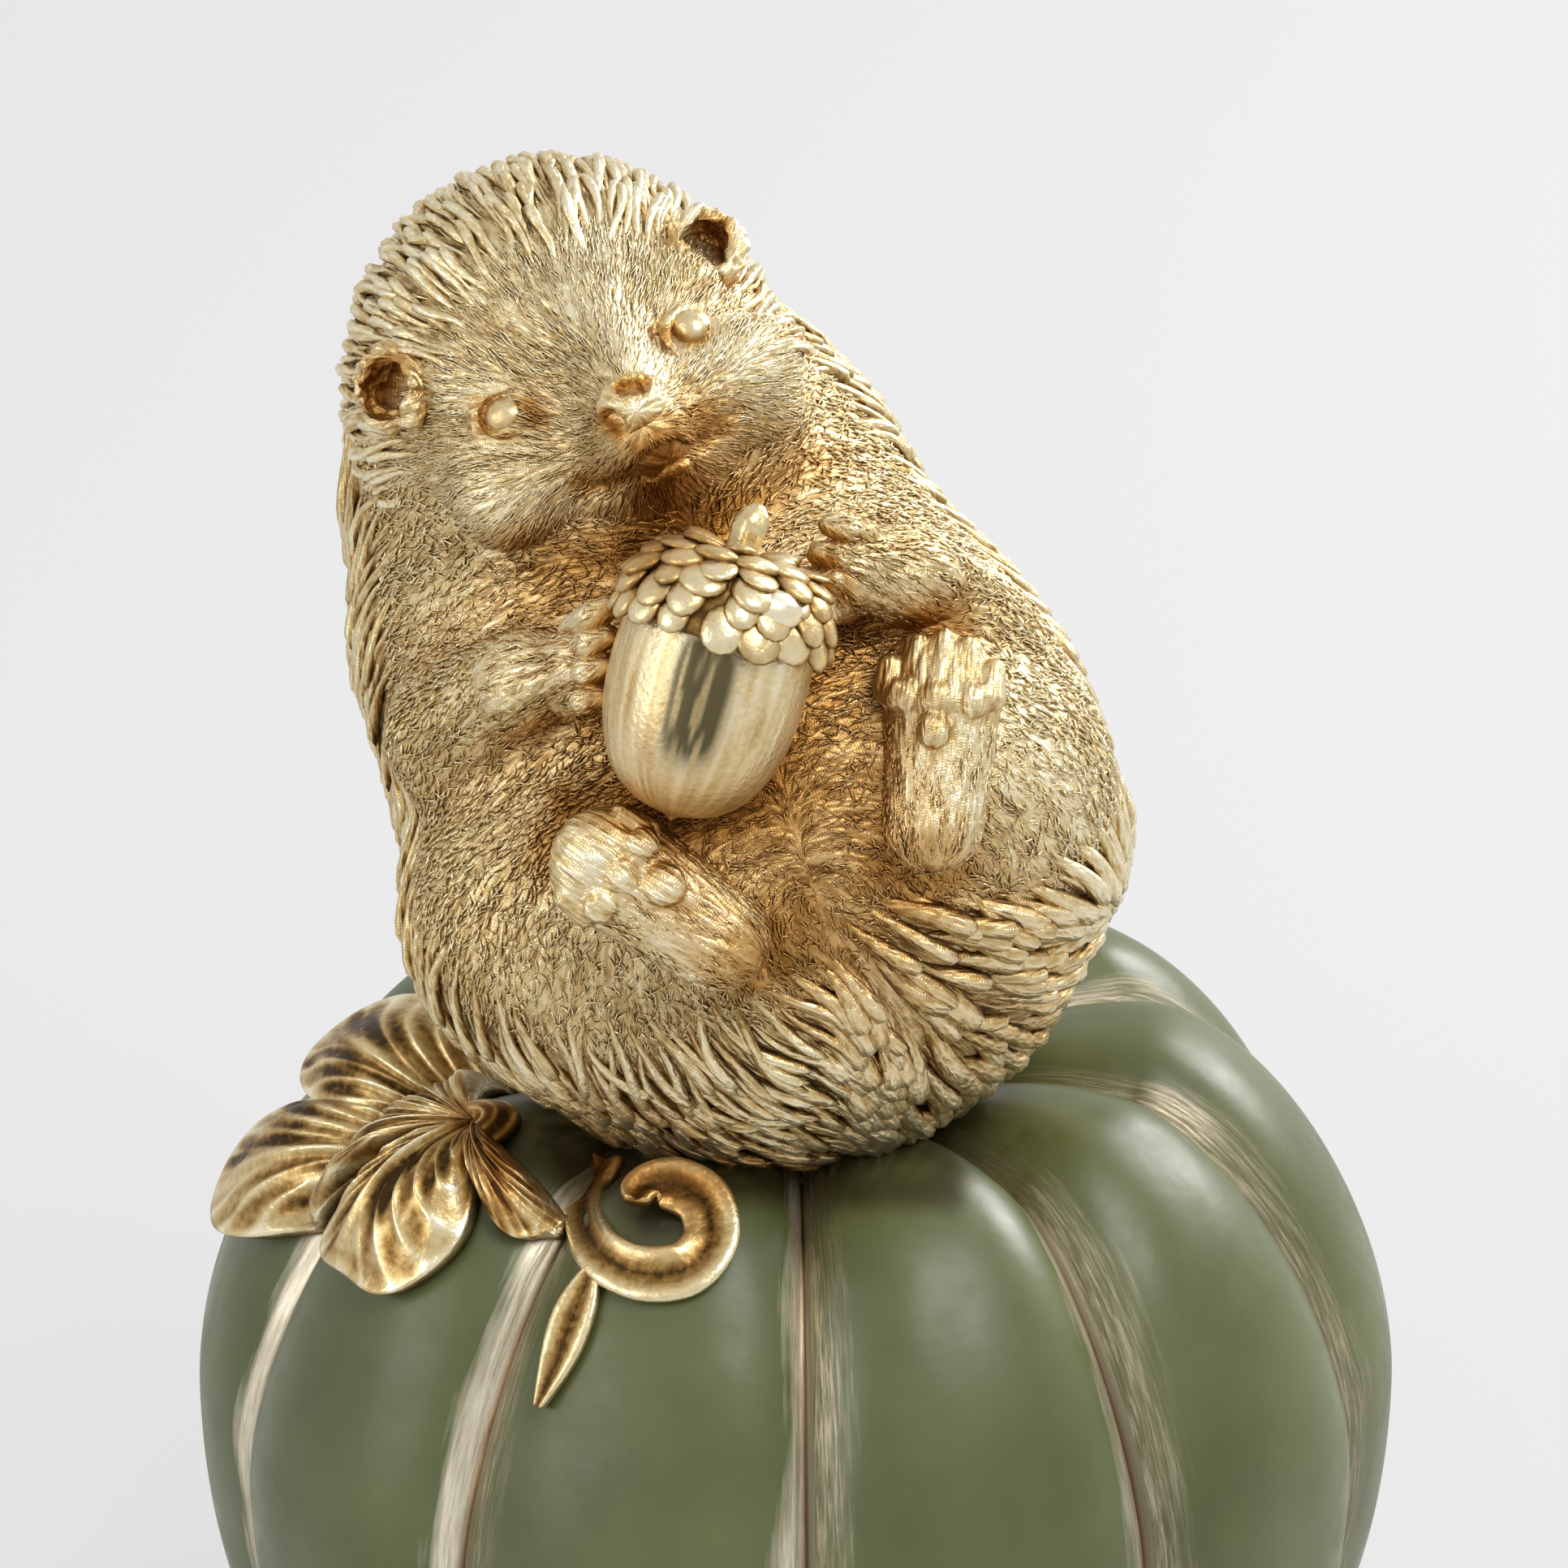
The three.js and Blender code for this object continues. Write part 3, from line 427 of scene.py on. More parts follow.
# Painted shade, drawn as soft brown strokes in the front view, on the front only: from, to, radius, strength
painted_shade_strokes = [
    # round the head's lower edge, the mouth, nostrils and eyes
    ((-22, 26.5), (-11.8, 26.5), 3.4, 0.5), ((-11.8, 27.5), (-3, 31), 3.8, 0.55),
    ((-3, 31.4), (7, 37.5), 3.6, 0.55), ((-18.3, 34.6), (-12.2, 34.8), 1.6, 0.6),
    ((-12.2, 37), (-4.4, 40.6), 2.6, 0.65), ((-9.6, 35.4), (-8.2, 35.8), 2.4, 0.6),
    ((-14, 44), (-11.8, 44.4), 1.3, 0.95),
    ((-15.9, 40.8), (-14.6, 39.3), 1.3, 0.95), ((-11, 38.6), (-6, 41.6), 2, 0.4),
    ((-24.2, 42.6), (-23.2, 41.2), 1.5, 0.75), ((-29.3, 43), (-29.1, 39.4), 0.7, 0.6),
    # belly, thighs and flanks, beside the acorn and the limbs
    ((-12, -4), (6, 1), 6, 0.4), ((2, 3), (7, -12), 7, 0.4), ((-20, 24), (-12, 4), 6, 0.3),
    ((-30, 18), (12, 22), 12, 0.12), ((8, 20), (12, 2), 4, 0.35), ((-12, 1), (-3, 0.6), 2.6, 0.6),
    ((-34, -16), (-10, -36), 6, 0.2), ((-10, -34), (22, -34), 8, 0.2), ((10, -14), (30, -10), 8, 0.3),
    ((14, -24), (32, -24), 8, 0.35),
    # ears
    ((-39.6, 46), (-38.6, 46.6), 2.2, 0.9), ((-4.6, 62), (-4.2, 61.6), 1.7, 0.9),
    # feet, the rump's lower edge, and painted contact shadows: under the rump, beside the leaf and inside the
    # tendril's curl
    ((-20.6, 1.5), (-14.5, -4.5), 1.6, 0.5), ((13.5, 13.6), (23.5, 13), 1.2, 0.5),
    ((-13.4, -9), (-7.6, -9.6), 1.3, 0.5), ((-11.4, -43.2), (-9.6, -43.2), 3.2, 0.95),
    ((-28, -35), (-27.4, -44), 2.0, 0.85), ((-30, -33), (-20, -37), 4, 0.6),
    ((-20, -38.5), (20, -40.5), 2.6, 0.75), ((20, -38), (38, -24), 2.2, 0.55),
]

# Painted highlights, where light falls on the front: from, to, radius, gain
painted_highlight_spots = [
    ((-17, 57), (-12, 47), 4.5, 0.22), ((-3, 49), (1, 48), 4.5, 0.26), ((-29, 34), (-25, 33), 4.5, 0.12),
    ((-31.6, 47.5), (-30.5, 46.5), 2.4, 0.15), ((-24, -27), (-10, -30), 4, 0.2),
    ((30, 10), (36, -4), 7, 0.18), ((-22, 58), (-10, 66), 7, 0.15), ((-17, -5), (-4, -13), 4, 0.2),
    ((18.6, 3), (18.6, -6), 4, 0.16), ((-19, 19), (-17.5, 12), 3, 0.25),
]


def soft_spots(p, spots, falls):
    """Soft strokes drawn in the front view, on the front only, added up by falls"""
    front, total = p[:, [0, 2]], np.zeros(len(p))
    for start, stop, radius, gain in spots:
        span = np.subtract(stop, start)
        along = np.clip((front - start) @ span / (span @ span), 0, 1)
        apart = np.linalg.norm(front - start - along[:, None] * span, axis=1) / radius
        total = falls(total, gain * np.exp(-apart ** 2) * (p[:, 1] < 0))
    return total


def painted_highlight(p):
    return soft_spots(p, painted_highlight_spots, np.add)


def shelter(p, n, form=whole_form, painted_shade_gain=1.0):
    """Painted shade: 1 in the open, 0 deep in a crease or under a painted shade stroke"""
    open_air = np.ones(len(p))
    for reach, weight in ((1.6, 0.3), (5, 0.5), (13, 0.6)):
        gap = np.clip(form((p + n * reach).astype(np.float32)) / reach, 0, 1)
        open_air *= 1 - weight + weight * gap
    return open_air * (1 - painted_shade_gain * soft_spots(p, painted_shade_strokes, lambda a, b: 1 - (1 - a) * (1 - b)))


# The coat: cast skins, and quills and strokes planted on them
def coat(name, form, base, flow, low, high, step, tuft):
    """The skin under the quills; base is the form that its strands are laid on"""
    points, faces = surface(form, low, high, step)
    n, f = laid(base, flow, points)
    strands = combed(points, f, 0.95, 2.6, 3)
    lumps = combed(points, f, 2.6, 5, 5, 7)
    relief = (strands - 0.5) * tuft + (lumps - 0.5) * tuft
    # Brighter on the raised strands and lumps, with the painted highlights added
    wear_and_highlight = 0.36 + 0.2 * strands + 0.08 * lumps + painted_highlight(points)
    # Painted shade from the creases of the whole figure
    values = {"wear_and_highlight": wear_and_highlight, "painted_shading": shelter(points, n), "flow": f}
    return new_piece(name, points + n * (relief - 0.1)[:, None], faces, values)


def scatter(form, core, gap, keep, tries, seed, flow, stretch):
    """Places on the skin that stand a gap apart, and further along the flow"""
    draw = np.random.default_rng(seed)
    way = unit(draw.normal(size=(tries, 3)))
    farthest, halvings = 64.0, 13
    low, high = np.zeros(tries), np.full(tries, farthest)
    for _ in range(halvings):
        middle = (low + high) / 2
        inside = form((core + way * middle[:, None]).astype(np.float32)) < 0
        low, high = np.where(inside, middle, low), np.where(inside, high, middle)
    places = core + way * high[:, None]
    places = places[keep(places)]
    lie = laid(form, flow, places)[1] if stretch > 1 else np.zeros_like(places)
    shrink = 1 - 1 / stretch ** 2
    size = gap * stretch
    cells, kept = {}, []
    for i, (place, along) in enumerate(zip(places, lie)):
        c = tuple((place // size).astype(int))
        near = [j for dx in (-1, 0, 1) for dy in (-1, 0, 1) for dz in (-1, 0, 1)
                for j in cells.get((c[0] + dx, c[1] + dy, c[2] + dz), ())]
        if near:
            apart = places[near] - place
            if np.min(np.sum(apart ** 2, 1) - shrink * (apart @ along) ** 2) < gap * gap:
                continue
        cells.setdefault(c, []).append(i)
        kept.append(i)
    return places[kept]


def blades(name, form, core, flow, keep, planting, size, tones, rings, sides, stray, painted_shade_gain=1.0):
    """Quills or strokes that follow the skin from their roots and end in a blunt tip.
    planting: gap, tries, seeds of places and of blades, stretch.
    size: length, width, thickness, lift of the tip"""
    (gap, tries, place_seed, seed, stretch), (low_tone, high_tone) = planting, tones
    roots = scatter(form, core, gap, keep, tries, place_seed, flow, stretch)
    draw, count = np.random.default_rng(seed), len(roots)

    def varied(value, spread):
        return value * (1 + spread * draw.uniform(-1, 1, count))

    spreads = (0.2, 0.22, 0.15, 0.3)
    length, width, thick, lift = [varied(value, spread) for value, spread in zip(size, spreads)]
    aim = np.radians(draw.normal(0, stray, count))
    wave, phase = np.radians(draw.uniform(4, 15, count)), draw.uniform(0, 2 * math.pi, count)
    tone = draw.uniform(-0.12, 0.12, count)
    shape = (count, rings, sides)
    points, wear_and_highlight, ways = np.empty((*shape, 3)), np.empty(shape), np.empty((*shape, 3))
    p = roots.copy()
    for k in range(rings):
        t = k / (rings - 1)
        n, f = laid(form, flow, p)
        side = np.cross(f, n)
        turn = aim + wave * np.sin(phase + 5 * t)
        f = f * np.cos(turn)[:, None] + side * np.sin(turn)[:, None]
        side = np.cross(f, n)
        # Widest from two thirds of its length, and rounded over its last fifth
        taper = math.sqrt(max(0, 1 - max(0, (t - 0.78) / 0.22) ** 2.6))
        swell = max((0.45 + 0.55 * min(1, t / 0.7)) * taper, 0.1)
        height = lift * t ** 1.3 - thick * 0.35 * (1 - t) - thick * 0.3 * max(0, (t - 0.8) / 0.2) ** 2
        middle = p + n * height[:, None]
        ways[:, k] = f[:, None]
        for j in range(sides):
            a = j * 2 * math.pi / sides + math.pi / 2
            points[:, k, j] = (middle + side * (width * swell * math.cos(a) / 2)[:, None]
                               + n * (thick * swell * math.sin(a) / 2)[:, None])
            bright = (high_tone - low_tone) * max(0, math.sin(a)) * (0.5 + 0.5 * t)
            wear_and_highlight[:, k, j] = np.clip(low_tone + bright + tone, 0, 1)
        p = on_skin(form, (p + f * (length / (rings - 1))[:, None]).astype(np.float32)).astype(float)
    first = np.arange(count)[:, None] * rings * sides
    quads = (first[:, :, None] + grid_faces(rings, sides)[None, :, [0, 3, 2, 1]]).reshape(-1, 4)
    caps = first + np.arange(sides)
    flat = points.reshape(-1, 3)
    n = np.repeat(slope_of(form, roots.astype(np.float32)), rings * sides, 0)
    # Painted highlights added to each blade's tone, and painted shade from the figure's creases
    values = {"wear_and_highlight": wear_and_highlight.ravel() + painted_highlight(flat), "painted_shading": shelter(flat, n, painted_shade_gain=painted_shade_gain),
              "flow": ways.reshape(-1, 3)}
    return new_piece(name, flat, [quads, caps, (caps + (rings - 1) * sides)[:, ::-1]], values)


def tilt_of(p, core):
    """Degrees between the front and a place, seen from a core"""
    return np.degrees(np.arccos(np.clip(unit(p - core) @ np.array([0, -1.0, 0]), -1, 1)))


def clock(p, core):
    """Degrees round the front view: 0 right, 90 up, 180 left, 270 down"""
    return np.degrees(np.arctan2(p[:, 2] - core[2], p[:, 0] - core[0])) % 360


coat_turns = [0, 60, 120, 180, 225, 270, 315, 345, 360]
coat_tilts = [76, 82, 82, 70, 52, 43, 36, 58, 76]


def edge_of_coat(p):
    """Tilt where the body's quills begin"""
    return np.interp(clock(p, torso_core), coat_turns, coat_tilts)


def bare_of(p, form, gap):
    """Whether places stand a gap clear of a form"""
    return form(p.astype(np.float32)) > gap


def in_coat(p):
    """Whether places of the body carry quills"""
    return (tilt_of(p, torso_core) > edge_of_coat(p)) & bare_of(p, skull_form, 0.5)


def on_left(p):
    turn = clock(p, torso_core)
    return (turn > 120) & (turn < 284) & (p[:, 1] < 6)


def in_fan(p):
    return (clock(p, torso_core) > 284) & (p[:, 1] < 14)


hair_turns = [0, 8, 25, 47, 73, 92, 109, 124, 164, 183, 203, 225, 270, 330, 360]
hair_radii = [23.5, 22.3, 19.6, 20.1, 18.5, 17.3, 17.5, 17.9, 17.9, 20.3, 24.7, 27, 40, 40, 23.5]
face_middle = np.array([-16.0, 0, 44.0])


def in_hair(p, early=0.0):
    """Behind the hairline, which is drawn round the face in the front view"""
    away = np.hypot(p[:, 0] - face_middle[0], p[:, 2] - face_middle[2])
    edge = np.interp(clock(p, face_middle), hair_turns, hair_radii) - early
    return ((away > edge) | (p[:, 1] > -3)) & bare_of(p, torso_form, -1.5)


def quill_root(p):
    """Where a quill of the head may stand: behind the hairline, and clear of the ears"""
    clear = in_hair(p, 3.0)
    ahead = p + head_flow(p) * 4
    for at in (ear_left_at, ear_right_at):
        clear &= (np.linalg.norm(ahead - at, axis=1) > 5.4) & (np.linalg.norm(p - at, axis=1) > 4.4)
    return clear


ear_left_at, ear_right_at = np.array([-38.2, -15.0, 44.8]), np.array([-5.9, -11.1, 59.5])
neck_form = blend([body_form, lambda p: skull_form(p) + 0.7], 9)
head_skin = coat("head_skin", face_form, head_form, head_flow, (-50, -42, 14), (12, 26, 76), 0.34, 0.12)
body_skin = coat("body_skin", neck_form, neck_form, body_flow, (-48, -44, -42), (44, 38, 72), 0.45, 0.16)
head_quills = blades(
    "head_quills", head_form, head_core, head_flow, quill_root,
    (1.12, 120000, 11, 1, 2.6), (9.5, 1.3, 1.3, 1.35), (0.2, 0.95), rings=10, sides=6, stray=5)
back_quills = blades(
    "back_quills", neck_form, torso_core, body_flow, lambda p: in_coat(p) & ~on_left(p) & ~in_fan(p),
    (1.5, 90000, 12, 2, 2.2), (9.5, 1.8, 1.4, 0.8), (0.15, 0.85), rings=8, sides=6, stray=7)
fan_quills = blades(
    "fan_quills", body_form, torso_core, body_flow, lambda p: in_coat(p) & in_fan(p),
    (1.6, 90000, 13, 3, 2.2), (11.5, 2.5, 2.2, 1.9), (0.08, 0.9), rings=11, sides=7, stray=11)
flank_strands = blades(
    "flank_strands", neck_form, torso_core, body_flow, lambda p: in_coat(p) & on_left(p),
    (1.25, 90000, 14, 4, 2.6), (14, 1.5, 1.5, 1.7), (0.1, 0.88), rings=11, sides=6, stray=8)


# Fine strokes on the bare skin
def bare_body(p):
    clear = (tilt_of(p, torso_core) < edge_of_coat(p) + 8) & bare_of(p, skull_form, -0.2)
    return clear & bare_of(p, acorn_form, 0.3)


def bare_face(p):
    clear = bare_of(p, body_form, 0.3) & bare_of(p, acorn_form, 0.3) & ~in_hair(p, -1)
    for at, gap in ((eye_left + (0.4, 0, 0), 2.1), (eye_right, 2.4), (nose_middle, 3.6), (mouth[3], 2.6)):
        clear &= np.linalg.norm(p - at, axis=1) > gap
    return clear


body_fur = blades(
    "body_fur", neck_form, torso_core, body_flow, bare_body,
    (0.53, 170000, 15, 5, 1), (1.7, 0.38, 0.42, 0.26), (0.29, 0.78), rings=4, sides=3, stray=32)
face_fur = blades(
    "face_fur", head_form, head_core, head_flow, bare_face,
    (0.46, 110000, 16, 6, 1), (2.2, 0.34, 0.3, 0.17), (0.36, 0.86), rings=4, sides=3, stray=9)


# Eyes, nose and ears
def part(name, form, low, high, step, flow=body_flow, tuft=0.0, strand=0.8, reach=2.4, painted_shade_gain=1.0):
    """A smaller casting, with strokes combed into it"""
    points, faces = surface(form, low, high, step)
    n, f = laid(form, flow, points)
    strands = combed(points, f, strand, reach, 7)
    # Painted shade from the figure's creases and this piece's own hollows
    shade = shelter(points, n, lambda q: np.minimum(whole_form(q), form(q)), painted_shade_gain)
    # Painted highlights added to the strokes' tone
    values = {"wear_and_highlight": 0.4 + 0.3 * strands + painted_highlight(points), "painted_shading": shade, "flow": f}
    return new_piece(name, points + n * ((strands - 0.5) * tuft)[:, None], faces, values)


def around(at, reach):
    """Corners of a box round a place"""
    return at - reach, at + reach


nose_form = lobe(nose_middle, (7.4, 6, 7.2), face_turn)
for at, size, lean in ((nostrils[0], (4.4, 2.6, 2.3), -8), (nostrils[1], (3.4, 2.8, 2.8), 30)):
    nose_form = carved(nose_form, lobe(at, size, turn_y(lean)), 0.8)
nose = part("nose_tip", nose_form, *around(nose_middle, 5), 0.12, head_flow, 0.16, 0.35, 0.6)
right_ball, left_ball = eye_right + (0, 1.6, 0), eye_left + (0.4, 2.0, 0)
right_eye = part("eye_bright", lobe(right_ball, (4.6, 4.6, 4.6)), *around(right_ball, 4), 0.14)
left_eye = part("eye_lidded", lobe(left_ball, (5.4, 5.4, 5.0), face_turn), *around(left_ball, 4), 0.14)


def ear_form(at, side):
    """A thick shell, hollowed from the front"""
    outward = face_turn @ unit([side * 0.5, -0.82, 0.2])
    middle = at + outward * 0.2
    root = lobe(middle + face_turn @ np.array([side * -2.6, 0, -2.2]), (7, 5, 6))
    bowl = blend([lobe(middle, (9.2, 9.2, 9.2)), root], 2)
    mouth_size = 5.7 if side < 0 else 4.7
    hollow = lobe(middle + outward * 1.6, (mouth_size, 8, mouth_size + 0.2), face_turn)
    cup = carved(carved(bowl, lobe(middle + outward * 8.2, (13, 13, 13)), 1.0), hollow, 0.8)
    return lambda p: cup(p) + (noise(p, 1.8, 9).astype(np.float32) - 0.5) * 0.8


left_ear, right_ear = [
    part("ear_shell_" + side_name, ear_form(at, side), *around(at, 8), 0.2, head_flow, 1.0, 0.9, 1.2)
    for side_name, at, side in (("left", ear_left_at, -1), ("right", ear_right_at, 1))]


# Forelegs and hind feet
def fore_form(points, spread, palm, finger):
    """A foreleg with its paw's four fingers: palm is the paw's radius, finger how far they reach"""
    shoulder, wrist, paw = points
    reach, spread = unit(paw - wrist), unit(spread)
    arm = blend([limb(shoulder, wrist, 5.2, 4.6), limb(wrist, paw, 4.6, palm)], 3)
    fingers = []
    for place in (-1.5, -0.5, 0.5, 1.5):
        root = paw + spread * place * 2.6 - reach * 1.2
        tip = root + reach * (finger - 0.5 * abs(place)) + spread * place * 0.5
        knuckle = root * 0.45 + tip * 0.55 + (0, -1.9, 0)
        fingers.append(chain([root, knuckle, tip], [1.3, 1.5, 1.25]))
    return blend([arm] + fingers, 0.35)


def arm_flow(p):
    """Along the arm, from the shoulder to the fingers"""
    return unit(np.where(p[:, :1] < -5, unit(left_arm[2] - left_arm[0]), unit(right_arm[2] - right_arm[0])))


left_fore = fore_form(left_arm, (0.1, -0.2, 1), 3.2, 7.2)
right_fore = fore_form(right_arm, (0.25, -0.2, 1), 4.2, 6.2)
left_paw = part("forepaw_left", left_fore, (-41, -42, 0), (-8, -6, 24), 0.25, arm_flow, 0.3, 0.7, 2, 0.3)
right_paw = part("forepaw_right", right_fore, (-2, -42, 9), (33, -6, 34), 0.25, arm_flow, 0.3, 0.7, 2, 0.3)


def foot_form(ends, toward, pad_size, rise, melt):
    """A sole with its toes and pads, which stand out by rise and melt into it"""
    heel, toe = ends
    along, toward = unit(toe - heel), unit(toward)
    across = np.cross(along, toward)
    turn = np.stack([across, -toward, along], 1).astype(np.float32)
    middle = ((heel + toe) / 2).astype(np.float32)
    sole = limb((0, 0, -7.2), (0, 0, 6), 5.3, 6.3)
    squat = np.array([1, 1.35, 1], np.float32)
    toes = []
    for place in (-2, -1, 0, 1, 2):
        root = middle + along * (9.0 - 0.75 * place ** 2) + across * place * 2.7 + toward * (2.7 + rise)
        toes.append(limb(root, root + along * 2.6 + toward * rise, 1.6, 1.25))
    for place in (-1, 0, 1):
        at = middle + along * 5.2 + across * place * 3.6 + toward * (4.5 + rise - 0.4 * abs(place))
        toes.append(lobe(at, (4.2, 2.6, 3.6), turn))
    form = blend([lambda p: sole(((p - middle) @ turn) * squat) / 1.2] + toes, melt)
    return blend([form, lobe(middle + (0, 0, 1.9) + toward * 4.1, pad_size)], 0.3)


left_foot_form = foot_form(left_sole, (0.1, -0.99, -0.1), (4.8, 3.2, 4.8), 0.6, 0.35)
right_foot_form = foot_form(right_sole, (-0.1, -0.99, 0.1), (3.4, 3.0, 4.2), 0.2, 0.65)


def foot_flow(p):
    """Along the sole, from the toes to the heel"""
    left = p[:, 2:] < -0.5 * (p[:, :1] - 4)
    return unit(np.where(left, unit(left_sole[0] - left_sole[1]), unit(right_sole[0] - right_sole[1])))


left_foot = part("foot_left", left_foot_form, (-30, -43, -26), (9, -24, 7),
                 0.25, foot_flow, 0.3, 0.7, 1.4, 0.35)
right_foot = part("foot_right", right_foot_form, (8, -43, -14), (30, -18, 27),
                  0.25, foot_flow, 0.3, 0.7, 1.4, 0.35)


def bare_foot(ends, core, pad):
    """Where strokes may stand on a sole: behind the toes, and clear of the pad"""
    def keep(p):
        behind_toes = (p - core) @ unit(ends[1] - ends[0]) < 3.2
        clear = bare_of(p, body_form, 0.2) & bare_of(p, acorn_form, 0.2) & behind_toes
        return clear & (np.linalg.norm(p - core - (0, -4, 1.9), axis=1) > pad)
    return keep


def bare_paw(core):
    """Where strokes may stand on a foreleg: behind the fingers"""
    def keep(p):
        ahead = np.sign(-core[0] - 5) * (p[:, 0] - core[0])
        return bare_of(p, body_form, 0.1) & bare_of(p, acorn_form, 0.2) & (ahead < 0.8)
    return keep


foot_fur = [
    blades("sole_strokes_" + name, form, core, foot_flow, bare_foot(ends, core, pad),
           (0.58, 34000, seed, seed, 1), (1.4, 0.36, 0.3, 0.13), (0.3, 0.84),
           rings=4, sides=3, stray=16, painted_shade_gain=0.35)
    for name, form, ends, core, pad, seed in (
        ("left", left_foot_form, left_sole, sole_middles[0], 2.9, 17),
        ("right", right_foot_form, right_sole, sole_middles[1], 2.5, 18))]
paw_fur = [
    blades("paw_strokes_" + name, form, core, arm_flow, bare_paw(core), (0.58, 26000, seed, seed, 1),
           (1.9, 0.36, 0.36, 0.2), (0.32, 0.72), rings=4, sides=3, stray=12)
    for name, form, core, seed in (
        ("left", left_fore, left_arm[2], 19), ("right", right_fore, right_arm[2], 20))]


# Acorn: a brushed nut, a cup of shingles and a stem
def acorn_piece(name, points, faces, middle, wear_and_highlight, **more):
    """A piece in the acorn's own frame, with painted shade where the figure that holds it closes over it"""
    places = from_acorn(points)
    painted_shading = shelter(places, unit(places - from_acorn((0, 0, middle))), blend([body_form, skull_form], 0.5))
    return new_piece(name, places, faces, {"wear_and_highlight": wear_and_highlight, "painted_shading": painted_shading, **more})


nut_rows, nut_turns = 90, 180
nut_line = smooth_line([
    (0.05, -21), (0.9, -20.4), (0.42 * nut_radius, -19.4), (0.72 * nut_radius, -16.8),
    (0.93 * nut_radius, -12), (nut_radius, -5.5), (0.95 * nut_radius, 2.4)], nut_rows)
flat = lathe(nut_line, nut_turns).reshape(-1, 3)
ring = np.arctan2(flat[:, 1], flat[:, 0])
stretched = np.stack([np.cos(ring) * nut_radius, np.sin(ring) * nut_radius, flat[:, 2] * 0.09], 1)
brushed = 0.5 * noise(stretched, 0.8, 2) + 0.5 * noise(stretched, 0.4, 3)
flat = flat * np.stack([1 + (brushed - 0.5) * 0.016] * 2 + [np.ones(len(flat))], 1)
# A painted reflection in deep brown on the nut's front, streaked along the brush marks
dark_reflection = np.exp(-(((np.degrees(ring) + 92) / 17) ** 4 + ((flat[:, 2] + 7.2) / 6.4) ** 4))
dark_reflection = np.clip(dark_reflection * 1.5 * ramp(brushed, 0.25, 0.6) + dark_reflection * 0.35, 0, 1)
acorn_nut = acorn_piece(
    "acorn_nut_brushed", flat, bar_faces(nut_rows, nut_turns), -5.0, 0.3 + 0.7 * brushed, dark=dark_reflection)


def dome(share):
    """Radius and height of the cup at a share of the way up its side"""
    rise = share * math.pi / 2
    return (cap_radius - 0.9) * math.cos(rise) ** 0.6, (cap_height - 0.4) * math.sin(rise)


cup_rows, cup_turns, ball_rows, ball_turns = 60, 120, 9, 14
shares = np.concatenate([np.linspace(0.0, 0.93, 22), [0.97, 0.995]])
cup_line = [(nut_radius + 0.1, -1.2), (cap_radius - 1.1, -1.1), (cap_radius - 0.95, -0.5)]
cup = lathe(smooth_line(cup_line + [dome(share) for share in shares], cup_rows), cup_turns).reshape(-1, 3)
cup_points, cup_faces, cup_wear = [cup], [grid_faces(cup_rows, cup_turns)], [np.full(len(cup), 0.08)]
angle = np.linspace(0, math.pi, ball_rows)
ball = lathe(np.stack([np.maximum(np.sin(angle), 0.02), -np.cos(angle)], 1), ball_turns).reshape(-1, 3)
ball_faces = grid_faces(ball_rows, ball_turns)


def add_ball(middle, size, axes, wear_and_highlight):
    """A ball on the cup, stretched to a size along its own axes"""
    local = ball * np.array(size)
    cup_faces.append(ball_faces + sum(len(points) for points in cup_points))
    cup_points.append(middle + local[:, :1] * axes[0] + local[:, 1:2] * axes[1] + local[:, 2:] * axes[2])
    cup_wear.append(wear_and_highlight)


# Scales in rows, staggered by half a scale, each a little askew
draw = np.random.default_rng(21)
row_count, scale_pitch = 6, 4.3
for row in range(row_count):
    share = 0.02 + 0.84 * (row / (row_count - 1)) ** 0.92
    r, z = dome(share)
    r_up, z_up = dome(min(share + 0.03, 1))
    number = max(5, int(round(2 * math.pi * r / scale_pitch)))
    slope = unit([r_up - r, 0, z_up - z])
    for place in range(number):
        angle = 2 * math.pi * (place + 0.5 * (row % 2)) / number + draw.uniform(-0.09, 0.09)
        radial = np.array([math.cos(angle), math.sin(angle), 0])
        side = np.array([-math.sin(angle), math.cos(angle), 0])
        up = radial * slope[0] + np.array([0, 0, slope[2]])
        swing = draw.uniform(-0.3, 0.3)
        up, side = (up * math.cos(swing) + side * math.sin(swing),
                    side * math.cos(swing) - up * math.sin(swing))
        out = np.cross(side, up)
        size = 2.3 + draw.uniform(-0.5, 0.5), 2.3 + draw.uniform(-0.4, 0.7), 0.8 + draw.uniform(-0.2, 0.25)
        tip_up = draw.uniform(0.22, 0.42)
        wear_and_highlight = np.clip(0.12 + 0.5 * ball[:, 2] - 0.3 * ball[:, 1] + draw.uniform(-0.14, 0.14), 0, 1)
        add_ball(radial * r + np.array([0, 0, z]) + out * 0.05, size,
                 (side, up * 0.94 - out * tip_up, out * 0.94 + up * tip_up), wear_and_highlight)

# The knob at the cup's front, palest all over: bright as a high, with a painted highlight
angle = math.radians(-58)
r, z = dome(0.3)
out = unit([math.cos(angle), math.sin(angle), 0.55])
side = unit(np.cross([0, 0, 1], out))
at = np.array([math.cos(angle) * r, math.sin(angle) * r, z]) - out * 0.4
add_ball(at, (3.0, 2.2, 1.9), (side, np.cross(out, side), out), np.full(len(ball), 0.95))
acorn_cup = acorn_piece("acorn_cup", np.vstack(cup_points), np.vstack(cup_faces), -2.0,
                        np.concatenate(cup_wear))

